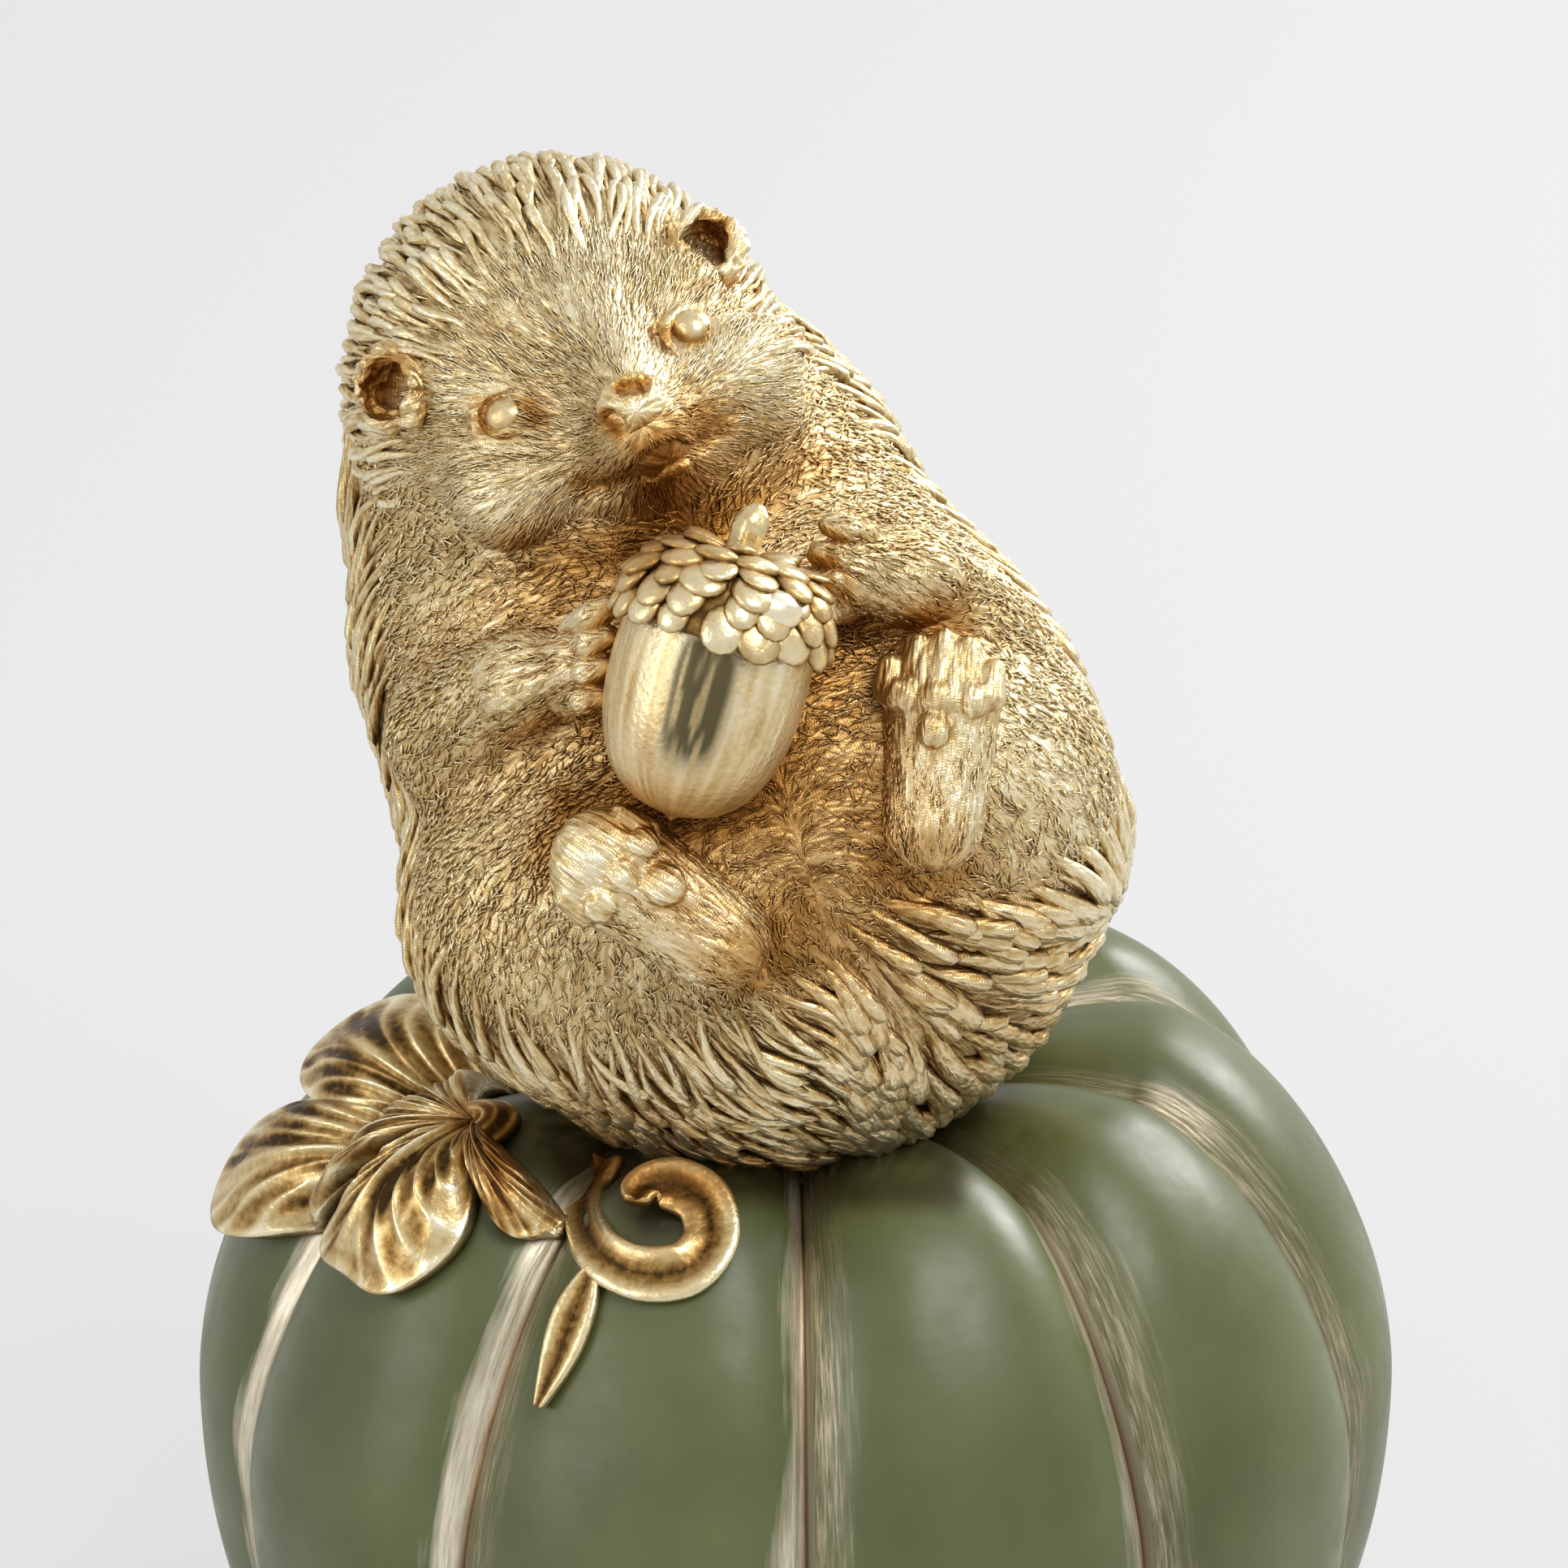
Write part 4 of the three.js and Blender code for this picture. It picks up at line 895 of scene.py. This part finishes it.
# The stalk: a round bar, ridged a little lengthwise
rows, turns = 30, 24
stalk_course = [(0, 0, 6.3), (0.1, 0, 8.6), (0.3, 0, 10.6), (0.5, 0, 12.2), (0.55, 0, 12.8)]
route = smooth_line(from_acorn(stalk_course), rows)
radii = [2.4, 1.9, 1.7, 1.75, 1.9, 1.85, 1.5, 0.6]
radii = np.interp(np.linspace(0, 1, rows), np.linspace(0, 1, len(radii)), radii)
heading = unit(np.gradient(route, axis=0))
side = unit(np.cross(heading, [0.0, 1.0, 0.1]))
up = np.cross(side, heading)
angle = np.arange(turns) * 2 * math.pi / turns
ridge = 1 + 0.06 * np.cos(angle * 5)
flat = (route[:, None] + (radii[:, None] * np.cos(angle) * ridge)[..., None] * side[:, None]
        + (radii[:, None] * np.sin(angle) * ridge)[..., None] * up[:, None]).reshape(-1, 3)
acorn_stem = new_piece("acorn_stalk", flat, bar_faces(rows, turns),
                       {"wear_and_highlight": np.full(len(flat), 0.6), "painted_shading": np.ones(len(flat))})

# Pumpkin
crown_r, crown_z, side_r, side_z, foot_r, foot_z, dip_z = 38, 90, 67, 47, 47, 1.8, 82
ribs, groove, side_groove = 10, 6.5, 4.6
pumpkin_core = np.array([0, 0, side_z], float)


def quarter(a, corner, b, k, count):
    """A bend from a to b, drawn towards their corner by k"""
    a, corner, b = np.array(a, float), np.array(corner, float), np.array(b, float)
    t = np.linspace(0, 1, count)[:, None]
    c, d = a + (corner - a) * k, b + (corner - b) * k
    return a * (1 - t) ** 3 + 3 * c * t * (1 - t) ** 2 + 3 * d * t ** 2 * (1 - t) + b * t ** 3


t = np.linspace(0, 1, 80)
lower = quarter((foot_r, foot_z), (side_r, foot_z), (side_r, side_z), 0.55, 80)
upper = quarter((side_r, side_z), (side_r, crown_z), (crown_r, crown_z), 0.43, 90)
u = np.linspace(0, 1, 40)[:, None]
top = ((1 - u) ** 3 * np.array([crown_r, crown_z]) + 3 * u * (1 - u) ** 2 * np.array([22.8, crown_z])
       + 3 * u ** 2 * (1 - u) * np.array([15.2, dip_z]) + u ** 3 * np.array([0.05, dip_z]))
line = np.vstack([lower, upper[1:], top[1:]])
depth = np.concatenate([
    side_groove * np.minimum(1, t / 0.35), (side_groove + 1.9 * np.linspace(0, 1, 90))[1:],
    (groove * (1 - u[:, 0]) ** 1.5)[1:]])
tangent = unit(np.gradient(line, axis=0))
out_r, out_z = tangent[:, 1], -tangent[:, 0]
ring_count = 400
turn = np.arange(ring_count) * 2 * math.pi / ring_count
share = np.mod(np.degrees(turn) + 90 - 1, 360 / ribs) * ribs / 360
crease = np.abs(share * 2 - 1)
sunk = depth[:, None] * (crease[None] ** 2.8 + 0.14 * np.exp(-((1 - crease[None]) / 0.025) ** 2))
r = line[:, :1] - out_r[:, None] * sunk
z = line[:, 1:] - out_z[:, None] * sunk
skin = np.stack([r * np.cos(turn), r * np.sin(turn), z], -1)
wide = noise(skin.reshape(-1, 3), 22, 31).reshape(r.shape) - 0.5
deep = np.minimum(1, depth / 4)[:, None]
skin += lathe(np.stack([out_r, out_z], 1), ring_count) * (wide * 0.7 * deep)[..., None]

# Reach of the skin from the core, by bearing and height, so that leaf and tendril lie on it
rise_steps, lowest, highest = 361, -40, 90
rises = np.radians(np.linspace(lowest, highest, rise_steps))
reach_table = np.empty((rise_steps, ring_count))
for j in range(ring_count):
    rj = np.hypot(skin[:, j, 0], skin[:, j, 1])
    zj = skin[:, j, 2] - side_z
    reach_table[:, j] = np.interp(rises, np.arctan2(zj, rj), np.hypot(rj, zj))


def skin_reach(way):
    """Distance from the pumpkin's core to its skin, along directions"""
    bearing = np.mod(np.arctan2(way[..., 1], way[..., 0]) / (2 * math.pi), 1) * ring_count
    rise = np.degrees(np.arcsin(np.clip(way[..., 2], -1, 1)))
    rise = (rise - lowest) / (highest - lowest) * (rise_steps - 1)
    rise = np.clip(rise, 0, rise_steps - 1.001)
    i, j = rise.astype(int), bearing.astype(int) % ring_count
    a, b = rise - i, bearing - np.floor(bearing)
    k = (j + 1) % ring_count
    return ((reach_table[i, j] * (1 - b) + reach_table[i, k] * b) * (1 - a)
            + (reach_table[i + 1, j] * (1 - b) + reach_table[i + 1, k] * b) * a)


def on_pumpkin(across, up, grow):
    """The spot of the pumpkin's skin behind a place in the figure's front view"""
    start = to_world(np.array([across, 0, up]) * rump_radius)
    heading = turn_x @ np.array([0, 1.0, 0])
    steps = np.linspace(-90, 60, 3001)
    line = start + steps[:, None] * heading
    apart = line - pumpkin_core
    far = np.linalg.norm(apart, axis=1)
    inside = far < skin_reach(apart / far[:, None]) + grow
    return line[np.argmax(inside)]


# Its inner wall, closed at the foot, then the piece with its grooves and the lie of its brush marks
hollow = [(0.05, dip_z - 5), (20, dip_z - 2), (40, 76), (54, 62), (57, 44), (52, 24), (42, 8), (36.3, 5)]
inner = lathe(np.vstack([smooth_line(hollow, 60), [(36.3, 4), (36.3, 1.8)]]), ring_count)
walls = np.vstack([inner.reshape(-1, 3), skin.reshape(-1, 3)])
# Painted shadow, where the hedgehog's body hangs over the pumpkin and under the painted shade strokes
painted_shading = shelter(to_figure(walls), unit(walls - (0, 0, 40)) @ turn_x, body_form)
rib_number = np.floor(np.mod(np.degrees(turn) + 89, 360) / 36)
streaks = np.stack(np.broadcast_arrays(share * 36, 0.05 * run_of(line)[:, None], rib_number * 7), -1)
inside = inner.shape[0] * ring_count
pumpkin = new_piece("pumpkin_ribbed", walls, grid_faces(inner.shape[0] + len(line), ring_count), {
    "crease": np.concatenate([np.zeros(inside), (crease * deep).ravel()]),
    "side": np.concatenate([np.full(inside, 0.5), np.tile(share, len(line))]),
    "streaks": np.vstack([np.zeros((inside, 3)), streaks.reshape(-1, 3)]), "painted_shading": painted_shading}, figure=False)

# Leaf: four cupped lobes round a heart, laid over the pumpkin
leaf_root = on_pumpkin(-0.81, -0.907, seat_gap + 1) - pumpkin_core
leaf_up = unit(leaf_root)
leaf_radius = float(np.linalg.norm(leaf_root))
tip_bearing, tip_rise = math.radians(-179), math.radians(19.2)
tip_way = np.array([math.cos(tip_rise) * math.cos(tip_bearing), math.cos(tip_rise) * math.sin(tip_bearing),
                    math.sin(tip_rise)])
leaf_across = unit(np.cross(leaf_up, tip_way))
leaf_along = np.cross(leaf_across, leaf_up)
# Bearing, length, and how wide to either side, in degrees
leaf_lobes = [(-30, 31.9, 31, 24), (2, 37.5, 19, 21), (49, 20.3, 26, 62), (127, 16.1, 19, 17)]


def leaf_shape(turn_angle):
    """Reach of the leaf's edge, and how far off its lobe's vein a bearing is"""
    reach, off_vein = np.full(len(turn_angle), 4.0), np.ones(len(turn_angle))
    for at, length, before, after in leaf_lobes:
        off = np.mod(turn_angle - at + 180, 360) - 180
        off = off / np.where(off < 0, before, after)
        far = length * np.sqrt(np.maximum(0, 1 - np.abs(off) ** 3))
        off_vein = np.where(far > reach, off, off_vein)
        reach = np.maximum(reach, far)
    return reach, off_vein


def leaf_point(turn_angle, distance, height):
    """A place over the pumpkin, at a bearing and a distance from the leaf's root"""
    a, bend = np.radians(turn_angle)[..., None], (distance / leaf_radius)[..., None]
    way = leaf_up * np.cos(bend) + (leaf_along * np.cos(a) + leaf_across * np.sin(a)) * np.sin(bend)
    return pumpkin_core + way * (skin_reach(way) + height)[..., None]


leaf_turns, leaf_rows = 720, 56
bearing = np.arange(leaf_turns) * 360 / leaf_turns
reach, off_vein = leaf_shape(bearing)
smooth_reach = sum(np.roll(reach, k) for k in range(-4, 5)) / 9
reach = np.minimum(reach, smooth_reach) * (1 + 0.02 * np.sin(np.radians(bearing * 11)) * (reach > 9))
share = np.repeat(np.linspace(0, 1, leaf_rows)[:, None], leaf_turns, 1)
reach_all, off_all, bearing_all = [np.broadcast_to(row, share.shape) for row in (reach, off_vein, bearing)]
big = np.clip((reach_all - 6) / 14, 0, 1)
swell = np.sin(math.pi * share ** 0.9)
groove_lines = np.cos(off_all * 34 + 3 * share) * 0.10 + np.cos(off_all * 11 + 5 * share) * 0.22
mid_vein = np.exp(-(off_all / 0.06) ** 2) * (1 - share ** 3) * 1.3
veins = np.abs(np.mod(share * 3.4 - np.abs(off_all) * 5.2, 1) - 0.5) * 2
side_vein = (veins ** 3 - 0.35) * np.clip(np.abs(off_all) * 4, 0, 1) * 0.55
cup = np.abs(off_all) ** 1.6 * 1.6 * swell
rim = np.exp(-((1 - share) / 0.05) ** 2) * 0.45
tip_lift = 2.2 * (reach_all * share / 37.5) ** 2
bulge = 3.0 * swell * (0.5 + 0.5 * big)
height = (1.9 + tip_lift + bulge + big * swell * (groove_lines + side_vein) + 0.7 * mid_vein * big
          + cup * big * 0.55 + rim * big)
top_side = leaf_point(bearing_all, share * reach_all, height)
under_height = np.minimum(0.35 + tip_lift + bulge * 0.86, height - 0.9)
under_side = leaf_point(bearing_all, share * (reach_all - 0.3), under_height)
points = np.vstack([top_side.reshape(-1, 3), under_side[::-1].reshape(-1, 3)])
beside = np.exp(-((np.abs(off_all) - 0.2) / 0.13) ** 2)
blot = ramp(noise(top_side.reshape(-1, 3), 5.5, 12).reshape(share.shape), 0.5, 0.75)
patina = (0.5 + 0.7 * groove_lines + 1.0 * side_vein + 0.35 * mid_vein - 0.4 * beside * swell - 0.25 * blot
          + 0.8 * rim)
patina = np.concatenate([np.clip(patina, 0, 1).ravel(), np.zeros(share.size)])
# Painted shadow on the leaf, where the hedgehog's body hangs over it and under the painted shade strokes
painted_shading = shelter(to_figure(points), np.repeat(leaf_up[None], len(points), 0) @ turn_x, body_form)
leaf = new_piece("leaf_cast", points, grid_faces(2 * leaf_rows, leaf_turns),
                 {"wear_and_highlight": patina, "painted_shading": painted_shading}, False)


# Tendril: a channelled ribbon, curled at one end, with a leaf-shaped tail
def ribbon(name, route, count, width, rise):
    """A bar with a hollowed top, as wide and as far lifted as the rules say"""
    thick, turns = 2.0, 28
    path = smooth_line([on_pumpkin(across, up, seat_gap + thick / 2) for across, up in route], count)
    along = np.linspace(0, 1, count)
    heading = unit(np.gradient(path, axis=0))
    normal = unit(path - pumpkin_core)
    side = unit(np.cross(heading, normal))
    up = np.cross(side, heading)
    path = path + up * rise(along)[:, None]
    half = (width(along) / 2)[:, None]
    angle = np.arange(turns) * 2 * math.pi / turns
    x = np.sign(np.cos(angle)) * np.abs(np.cos(angle)) ** 0.8
    y = np.sign(np.sin(angle)) * np.abs(np.sin(angle)) ** 0.75
    channel = np.where(y > 0, np.exp(-(x / 0.55) ** 2), 0)
    height = thick / 2 * y - np.minimum(1, half / 2) * channel
    flat = path[:, None] + (half * x)[..., None] * side[:, None] + height[..., None] * up[:, None]
    flat = flat.reshape(-1, 3)
    wear_and_highlight = np.tile(np.clip(0.75 - 0.75 * channel - (y < 0) * 0.5, 0, 1), count)
    # Painted shadow on the tendril, where the hedgehog's body hangs over it and under the painted shade
    # strokes
    painted_shading = shelter(to_figure(flat), np.repeat(normal, turns, 0) @ turn_x, body_form)
    return new_piece(name, flat, bar_faces(count, turns), {"wear_and_highlight": wear_and_highlight, "painted_shading": painted_shading}, figure=False)


def curl_width(t):
    """Broader towards its inner end, then rounded off"""
    return ((4.9 + 1.2 * ramp(t, 0.25, 0.6)) * (1 - 0.3 * ramp(t, 0.88, 1))
            * np.sqrt(np.clip((1.02 - t) / 0.05, 0.1, 1)))


curl_route = [(-0.443, -1.0), (-0.503, -1.114), (-0.465, -1.238), (-0.349, -1.305), (-0.211, -1.297),
              (-0.135, -1.214), (-0.151, -1.116), (-0.227, -1.073), (-0.314, -1.084), (-0.341, -1.135)]
tail_route = [(-0.47, -1.297), (-0.522, -1.422), (-0.565, -1.541), (-0.622, -1.689)]
curl = ribbon("tendril_spiral", curl_route, 130, curl_width, lambda t: 1.5 * ramp(t, 0.72, 1))
tail = ribbon("tendril_leaflet", tail_route, 60, lambda t: 4.2 * (0.3 + 0.85 * np.sin(math.pi * t ** 0.8)),
              np.zeros_like)

# What each piece stands for
gilt_pieces = {
    body_skin: ["hedgehog_body"], back_quills: [], fan_quills: [], flank_strands: [], body_fur: [],
    head_skin: ["hedgehog_head"], head_quills: [], face_fur: [],
    left_ear: ["ear_left"], right_ear: ["ear_right"], nose: ["nose"],
    left_paw: ["foreleg_left"], right_paw: ["foreleg_right"],
    left_foot: ["hind_foot_left"], right_foot: ["hind_foot_right"],
    **{piece: [] for piece in foot_fur + paw_fur},
}
bright_pieces = {
    left_eye: ["eye_left"], right_eye: ["eye_right"], acorn_nut: ["acorn_nut"], acorn_cup: ["acorn_cap"],
    acorn_stem: ["acorn_stem"], leaf: ["leaf"], curl: ["tendril_curl"], tail: ["tendril_tail"],
}
green_pieces = {pumpkin: ["pumpkin_shell"]}
by_slot = (("antique_gold", gilt_pieces), ("bright_gold", bright_pieces), ("sage_green", green_pieces))
for slot, pieces in by_slot:
    for piece, nodes in pieces.items():
        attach(piece, "root")
        if nodes:
            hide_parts(*nodes)


# Materials
def tree_of(name):
    material = bpy.data.materials.new(name)
    material.use_nodes = True
    tree = material.node_tree
    tree.nodes.clear()
    return material, tree


def fill(tree, socket, value):
    """Link a socket to another's output, or give it a fixed value"""
    if isinstance(value, bpy.types.NodeSocket):
        tree.links.new(value, socket)
    else:
        socket.default_value = value


def add(tree, kind, inputs=None, **settings):
    made = tree.nodes.new("ShaderNode" + kind)
    for key, value in settings.items():
        setattr(made, key, value)
    for key, value in (inputs or {}).items():
        fill(tree, made.inputs[key], value)
    return made


def calc(tree, operation, a, b):
    made = add(tree, "Math", operation=operation)
    for socket, value in zip(made.inputs, (a, b)):
        fill(tree, socket, value)
    return made.outputs[0]


def swung(tree, value, gain):
    """A noise moved to swing round 0, times a gain"""
    return calc(tree, "MULTIPLY", calc(tree, "SUBTRACT", value, 0.5), gain)


def stops(tree, value, pairs):
    """A colour ramp over a value"""
    made = add(tree, "ValToRGB", {"Fac": value})
    elements = made.color_ramp.elements
    for place, (at, colour) in enumerate(pairs):
        element = elements[place] if place < 2 else elements.new(at)
        element.position = at
        element.color = (*colour, 1)
    return made.outputs["Color"]


def grey(tree, value, pairs):
    return stops(tree, value, [(at, (v, v, v)) for at, v in pairs])


def mixed(tree, share, under, over, how="MIX"):
    """Two colours, the second to a share"""
    return add(tree, "Mix", {0: share, 6: under, 7: over}, data_type="RGBA", blend_type=how).outputs[2]


def attribute(tree, name, socket="Fac"):
    return add(tree, "Attribute", attribute_name=name).outputs[socket]


def in_object(tree):
    return add(tree, "TexCoord").outputs["Object"]


def noise_at(tree, place, scale, detail, rough=0.5):
    sockets = {"Vector": place, "Scale": scale, "Detail": detail, "Roughness": rough}
    return add(tree, "TexNoise", sockets).outputs["Fac"]


def texture(tree, size_mm, detail, stretch=(1, 1, 1)):
    """Noise at a size in millimetres, fixed to the object"""
    place = add(tree, "Mapping", {"Vector": in_object(tree), "Scale": stretch}).outputs[0]
    return noise_at(tree, place, 1000 / size_mm, detail)


def strokes(tree, width_mm, reach_mm):
    """Noise smeared along the lie of the fur: strokes as fine as a brush hair"""
    place, way = in_object(tree), attribute(tree, "flow", "Vector")
    total, steps = 0.0, 7
    for shift in np.linspace(-reach_mm, reach_mm, steps) * 0.001:
        moved = add(tree, "VectorMath", {0: way, 1: (shift, shift, shift), 2: place},
                    operation="MULTIPLY_ADD")
        total = calc(tree, "ADD", total, noise_at(tree, moved.outputs[0], 1000 / width_mm, 1.0))
    return grey(tree, calc(tree, "DIVIDE", total, steps), [(0.42, 0), (0.58, 1)])


def bumped(tree, height, strength, relief_mm):
    sockets = {"Height": height, "Strength": strength, "Distance": relief_mm / 1000}
    return add(tree, "Bump", sockets).outputs[0]


def coating(tree, colour, rough, metal, bump=None, shine=0.5):
    """Paint at metal 0, leaf or gilding near 1"""
    sockets = {"Base Color": colour, "Roughness": rough, "Metallic": metal, "Specular IOR Level": shine}
    if bump is not None:
        sockets["Normal"] = bump
    return add(tree, "BsdfPrincipled", sockets).outputs[0]


def layered(tree, share, under, over):
    return add(tree, "MixShader", {0: share, 1: under, 2: over}).outputs[0]


def finish_with(tree, shader):
    add(tree, "OutputMaterial", {"Surface": shader})


gold_tones = [(0.0, (0.05, 0.026, 0.006)), (0.95, (0.90, 0.81, 0.58)), (0.16, (0.24, 0.130, 0.034)),
              (0.33, (0.47, 0.315, 0.125)), (0.5, (0.64, 0.485, 0.24)), (0.7, (0.78, 0.655, 0.39))]
# Tint for painted shade, and deep brown for a painted reflection
shade_amber, reflection_brown = (0.80, 0.56, 0.30, 1), (0.12, 0.097, 0.046, 1)


def gilding(name, shade_tint, rough, grain, dark_reflection=None):
    """Antique gilding: bright on the highs and at the painted highlights; painted shade, browner with a warm
    orange tint, in the hollows and under the figure's parts; a painted reflection where given
    """
    material, tree = tree_of(name)
    broad = swung(tree, texture(tree, 9, 3), 0.24)
    height = strokes(tree, 0.5, 0.9) if grain == "strokes" else texture(tree, grain, 6)
    fine = swung(tree, height, 0.42)
    highs = calc(tree, "ADD", attribute(tree, "wear_and_highlight"), calc(tree, "ADD", broad, fine))
    painted_shading = attribute(tree, "painted_shading")
    # Painted shade: the tone falls, and a warm orange tint comes in, where the piece is closed over
    tone = calc(tree, "MULTIPLY", highs, grey(tree, painted_shading, [(0.0, 0.3), (0.55, 1), (0.2, 0.72)]))
    shade_tint_share = grey(tree, painted_shading, [(0.15, shade_tint), (0.85, 0)])
    colour = mixed(tree, shade_tint_share, stops(tree, tone, gold_tones), shade_amber, "MULTIPLY")
    roughness = grey(tree, tone, [(0.1, rough + 0.2), (0.8, rough)])
    shader = coating(tree, colour, roughness, 0.9, bumped(tree, height, 0.8, 0.16))
    # A painted reflection in deep brown, laid over the gilding
    if dark_reflection:
        shader = layered(tree, attribute(tree, dark_reflection), shader, coating(tree, reflection_brown, 0.4, 0.9))
    finish_with(tree, shader)
    return material


coat_gold = gilding("antique_gilding", 1.0, 0.32, "strokes")
bright_gold = gilding("bright_gilding", 0.7, 0.24, 0.9)
nut_gold = gilding("brushed_gilding", 0.8, 0.34, 0.6, "dark")
for piece in gilt_pieces:
    piece.data.materials.append(coat_gold)
for piece in bright_pieces:
    piece.data.materials.append(nut_gold if piece is acorn_nut else bright_gold)

# Green paint with gold brushed along one side of each groove, and drier along the other
paint, tree = tree_of("sage_paint")
lie = attribute(tree, "streaks", "Vector")
brush, hairs = noise_at(tree, lie, 1.1, 4.0), noise_at(tree, lie, 3.2, 5.0, 0.65)
side, crease_at = attribute(tree, "side"), attribute(tree, "crease")
ragged = calc(tree, "ADD", crease_at, swung(tree, brush, 0.24))
ragged = calc(tree, "ADD", ragged, swung(tree, texture(tree, 15, 2), 0.2))
masks = [calc(tree, "MULTIPLY", grey(tree, side, sides), grey(tree, ragged, edge)) for sides, edge in (
    ([(0.5, 0), (0.52, 1)], [(0.82, 0), (0.93, 1)]), ([(0.48, 1), (0.5, 0)], [(0.70, 0), (0.92, 1)]))]
dry_side = calc(tree, "MULTIPLY", masks[1], grey(tree, hairs, [(0.38, 0.25), (0.62, 0.9)]))
green = stops(tree, texture(tree, 16, 4), [(0.3, (0.076, 0.090, 0.024)), (0.7, (0.112, 0.128, 0.041))])
# Painted shadow: the green turned towards brown where the hedgehog hangs over the pumpkin
painted_shadow = grey(tree, attribute(tree, "painted_shading"), [(0.1, 1), (0.7, 0)])
painted = coating(
    tree, mixed(tree, painted_shadow, green, (0.22, 0.17, 0.12, 1), "MULTIPLY"),
    grey(tree, texture(tree, 5, 4), [(0.3, 0.32), (0.7, 0.46)]), 0.0,
    bumped(tree, texture(tree, 1.6, 5), 0.12, 0.3), 0.55)
leafing = mixed(tree, side, stops(tree, hairs, [(0.35, (0.17, 0.12, 0.065)), (0.7, (0.52, 0.45, 0.32))]),
                stops(tree, hairs, [(0.3, (0.52, 0.44, 0.30)), (0.65, (0.86, 0.80, 0.64))]))
# Deep brown along the very floor of each groove
groove_floor = stops(tree, crease_at, [(0.95, (1, 1, 1)), (0.99, (0.2, 0.12, 0.06))])
gilded = coating(tree, mixed(tree, 1.0, leafing, groove_floor, "MULTIPLY"), 0.36, 0.85, bumped(tree, hairs, 0.4, 0.2))
finish_with(tree, layered(tree, calc(tree, "MAXIMUM", masks[0], dry_side), painted, gilded))
pumpkin.data.materials.append(paint)


# Felt disc, closing plate and locating peg
def matt(name, grain_mm, fleck_mm, low, high, rough, relief_mm, stretch=(1, 1, 1)):
    """Grain, a broader mottle, and dirt in the low spots"""
    material, tree = tree_of(name)
    grain, mottle = texture(tree, grain_mm, 6, stretch), texture(tree, fleck_mm, 3)
    both = calc(tree, "ADD", calc(tree, "MULTIPLY", grain, 0.65), calc(tree, "MULTIPLY", mottle, 0.35))
    finish_with(tree, coating(
        tree, stops(tree, both, [(0.36, low), (0.64, high)]),
        grey(tree, mottle, [(0.3, rough - 0.08), (0.7, rough)]), 0.0, bumped(tree, grain, 0.6, relief_mm)))
    return material


for node, material in (
    ("felt_base", matt("green_felt", 0.35, 6, (0.020, 0.034, 0.016), (0.050, 0.075, 0.036), 0.96, 0.25,
                       (1, 1, 0.4))),
    ("base_plate", matt("cast_resin", 0.9, 12, (0.50, 0.47, 0.40), (0.66, 0.62, 0.54), 0.62, 0.08)),
    ("hedgehog_dowel", matt("dowel_beech", 0.5, 5, (0.36, 0.22, 0.11), (0.56, 0.38, 0.21), 0.7, 0.1,
                            (1, 1, 0.08))),
):
    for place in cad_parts[node].material_slots:
        place.material = material


# Stage
def seen_directly(tree):
    """1 for what the camera sees, itself or in a mirror or glass"""
    ray = add(tree, "LightPath").outputs
    through = calc(tree, "MAXIMUM", ray["Is Glossy Ray"], ray["Is Transmission Ray"])
    return calc(tree, "MAXIMUM", ray["Is Camera Ray"], through)


pale = (0.800, 0.800, 0.800, 1)
backdrop, tree = tree_of("pale_floor")
lit = add(tree, "BsdfDiffuse", {"Color": pale}).outputs[0]
plain = add(tree, "Emission", {"Color": pale, "Strength": 1.0}).outputs[0]
finish_with(tree, layered(tree, calc(tree, "MULTIPLY", seen_directly(tree), 0.75), lit, plain))
mesh = bpy.data.meshes.new("floor")
span = 3.0
mesh.from_pydata([(-span, -span, 0), (span, -span, 0), (span, span, 0), (-span, span, 0)], [], [(0, 1, 2, 3)])
mesh.materials.append(backdrop)
floor = bpy.data.objects.new("floor", mesh)
link(floor)

world = bpy.data.worlds.new("studio")
scene.world = world
world.use_nodes = True
tree = world.node_tree
tree.nodes.clear()
soft = add(tree, "Background", {"Color": (1, 1, 1, 1), "Strength": 0.4}).outputs[0]
bright = add(tree, "Background", {"Color": pale, "Strength": 1.0}).outputs[0]
add(tree, "OutputWorld", {"Surface": layered(tree, seen_directly(tree), soft, bright)})
scene.view_settings.view_transform = "Standard"


def lamp(name, place, aim, size, power):
    light = bpy.data.lights.new(name, "AREA")
    light.shape = "DISK"
    light.size, light.energy = size, power
    holder = bpy.data.objects.new(name, light)
    holder.location = place
    holder.rotation_euler = (Vector(aim) - Vector(place)).to_track_quat("-Z", "Y").to_euler()
    link(holder)


# Lamps in metres and watts, aimed at the figure's middle
aim = (0, 0, 0.11)
lamp("key", (0.5, -0.55, 1.05), aim, 0.7, 7)
lamp("fill", (-0.9, -0.6, 0.5), aim, 0.8, 3.4)
lamp("rim", (0.7, 0.6, 0.6), aim, 0.6, 9)

# Camera at the photograph's angle: 25 degrees above the horizon, square to the front
frame_width, distance, sensor = 0.1703, 0.9, 36
camera = bpy.data.objects.new("camera", bpy.data.cameras.new("camera"))
camera.data.sensor_width = sensor
camera.data.lens = sensor * distance / frame_width
camera.data.clip_end = 20
target = np.array([-0.0014, 0, 0.11852])
camera.location = target + distance * np.array([0, -math.cos(recline), math.sin(recline)])
camera.rotation_euler = (math.pi / 2 - recline, 0, 0)
link(camera)
scene.camera = camera
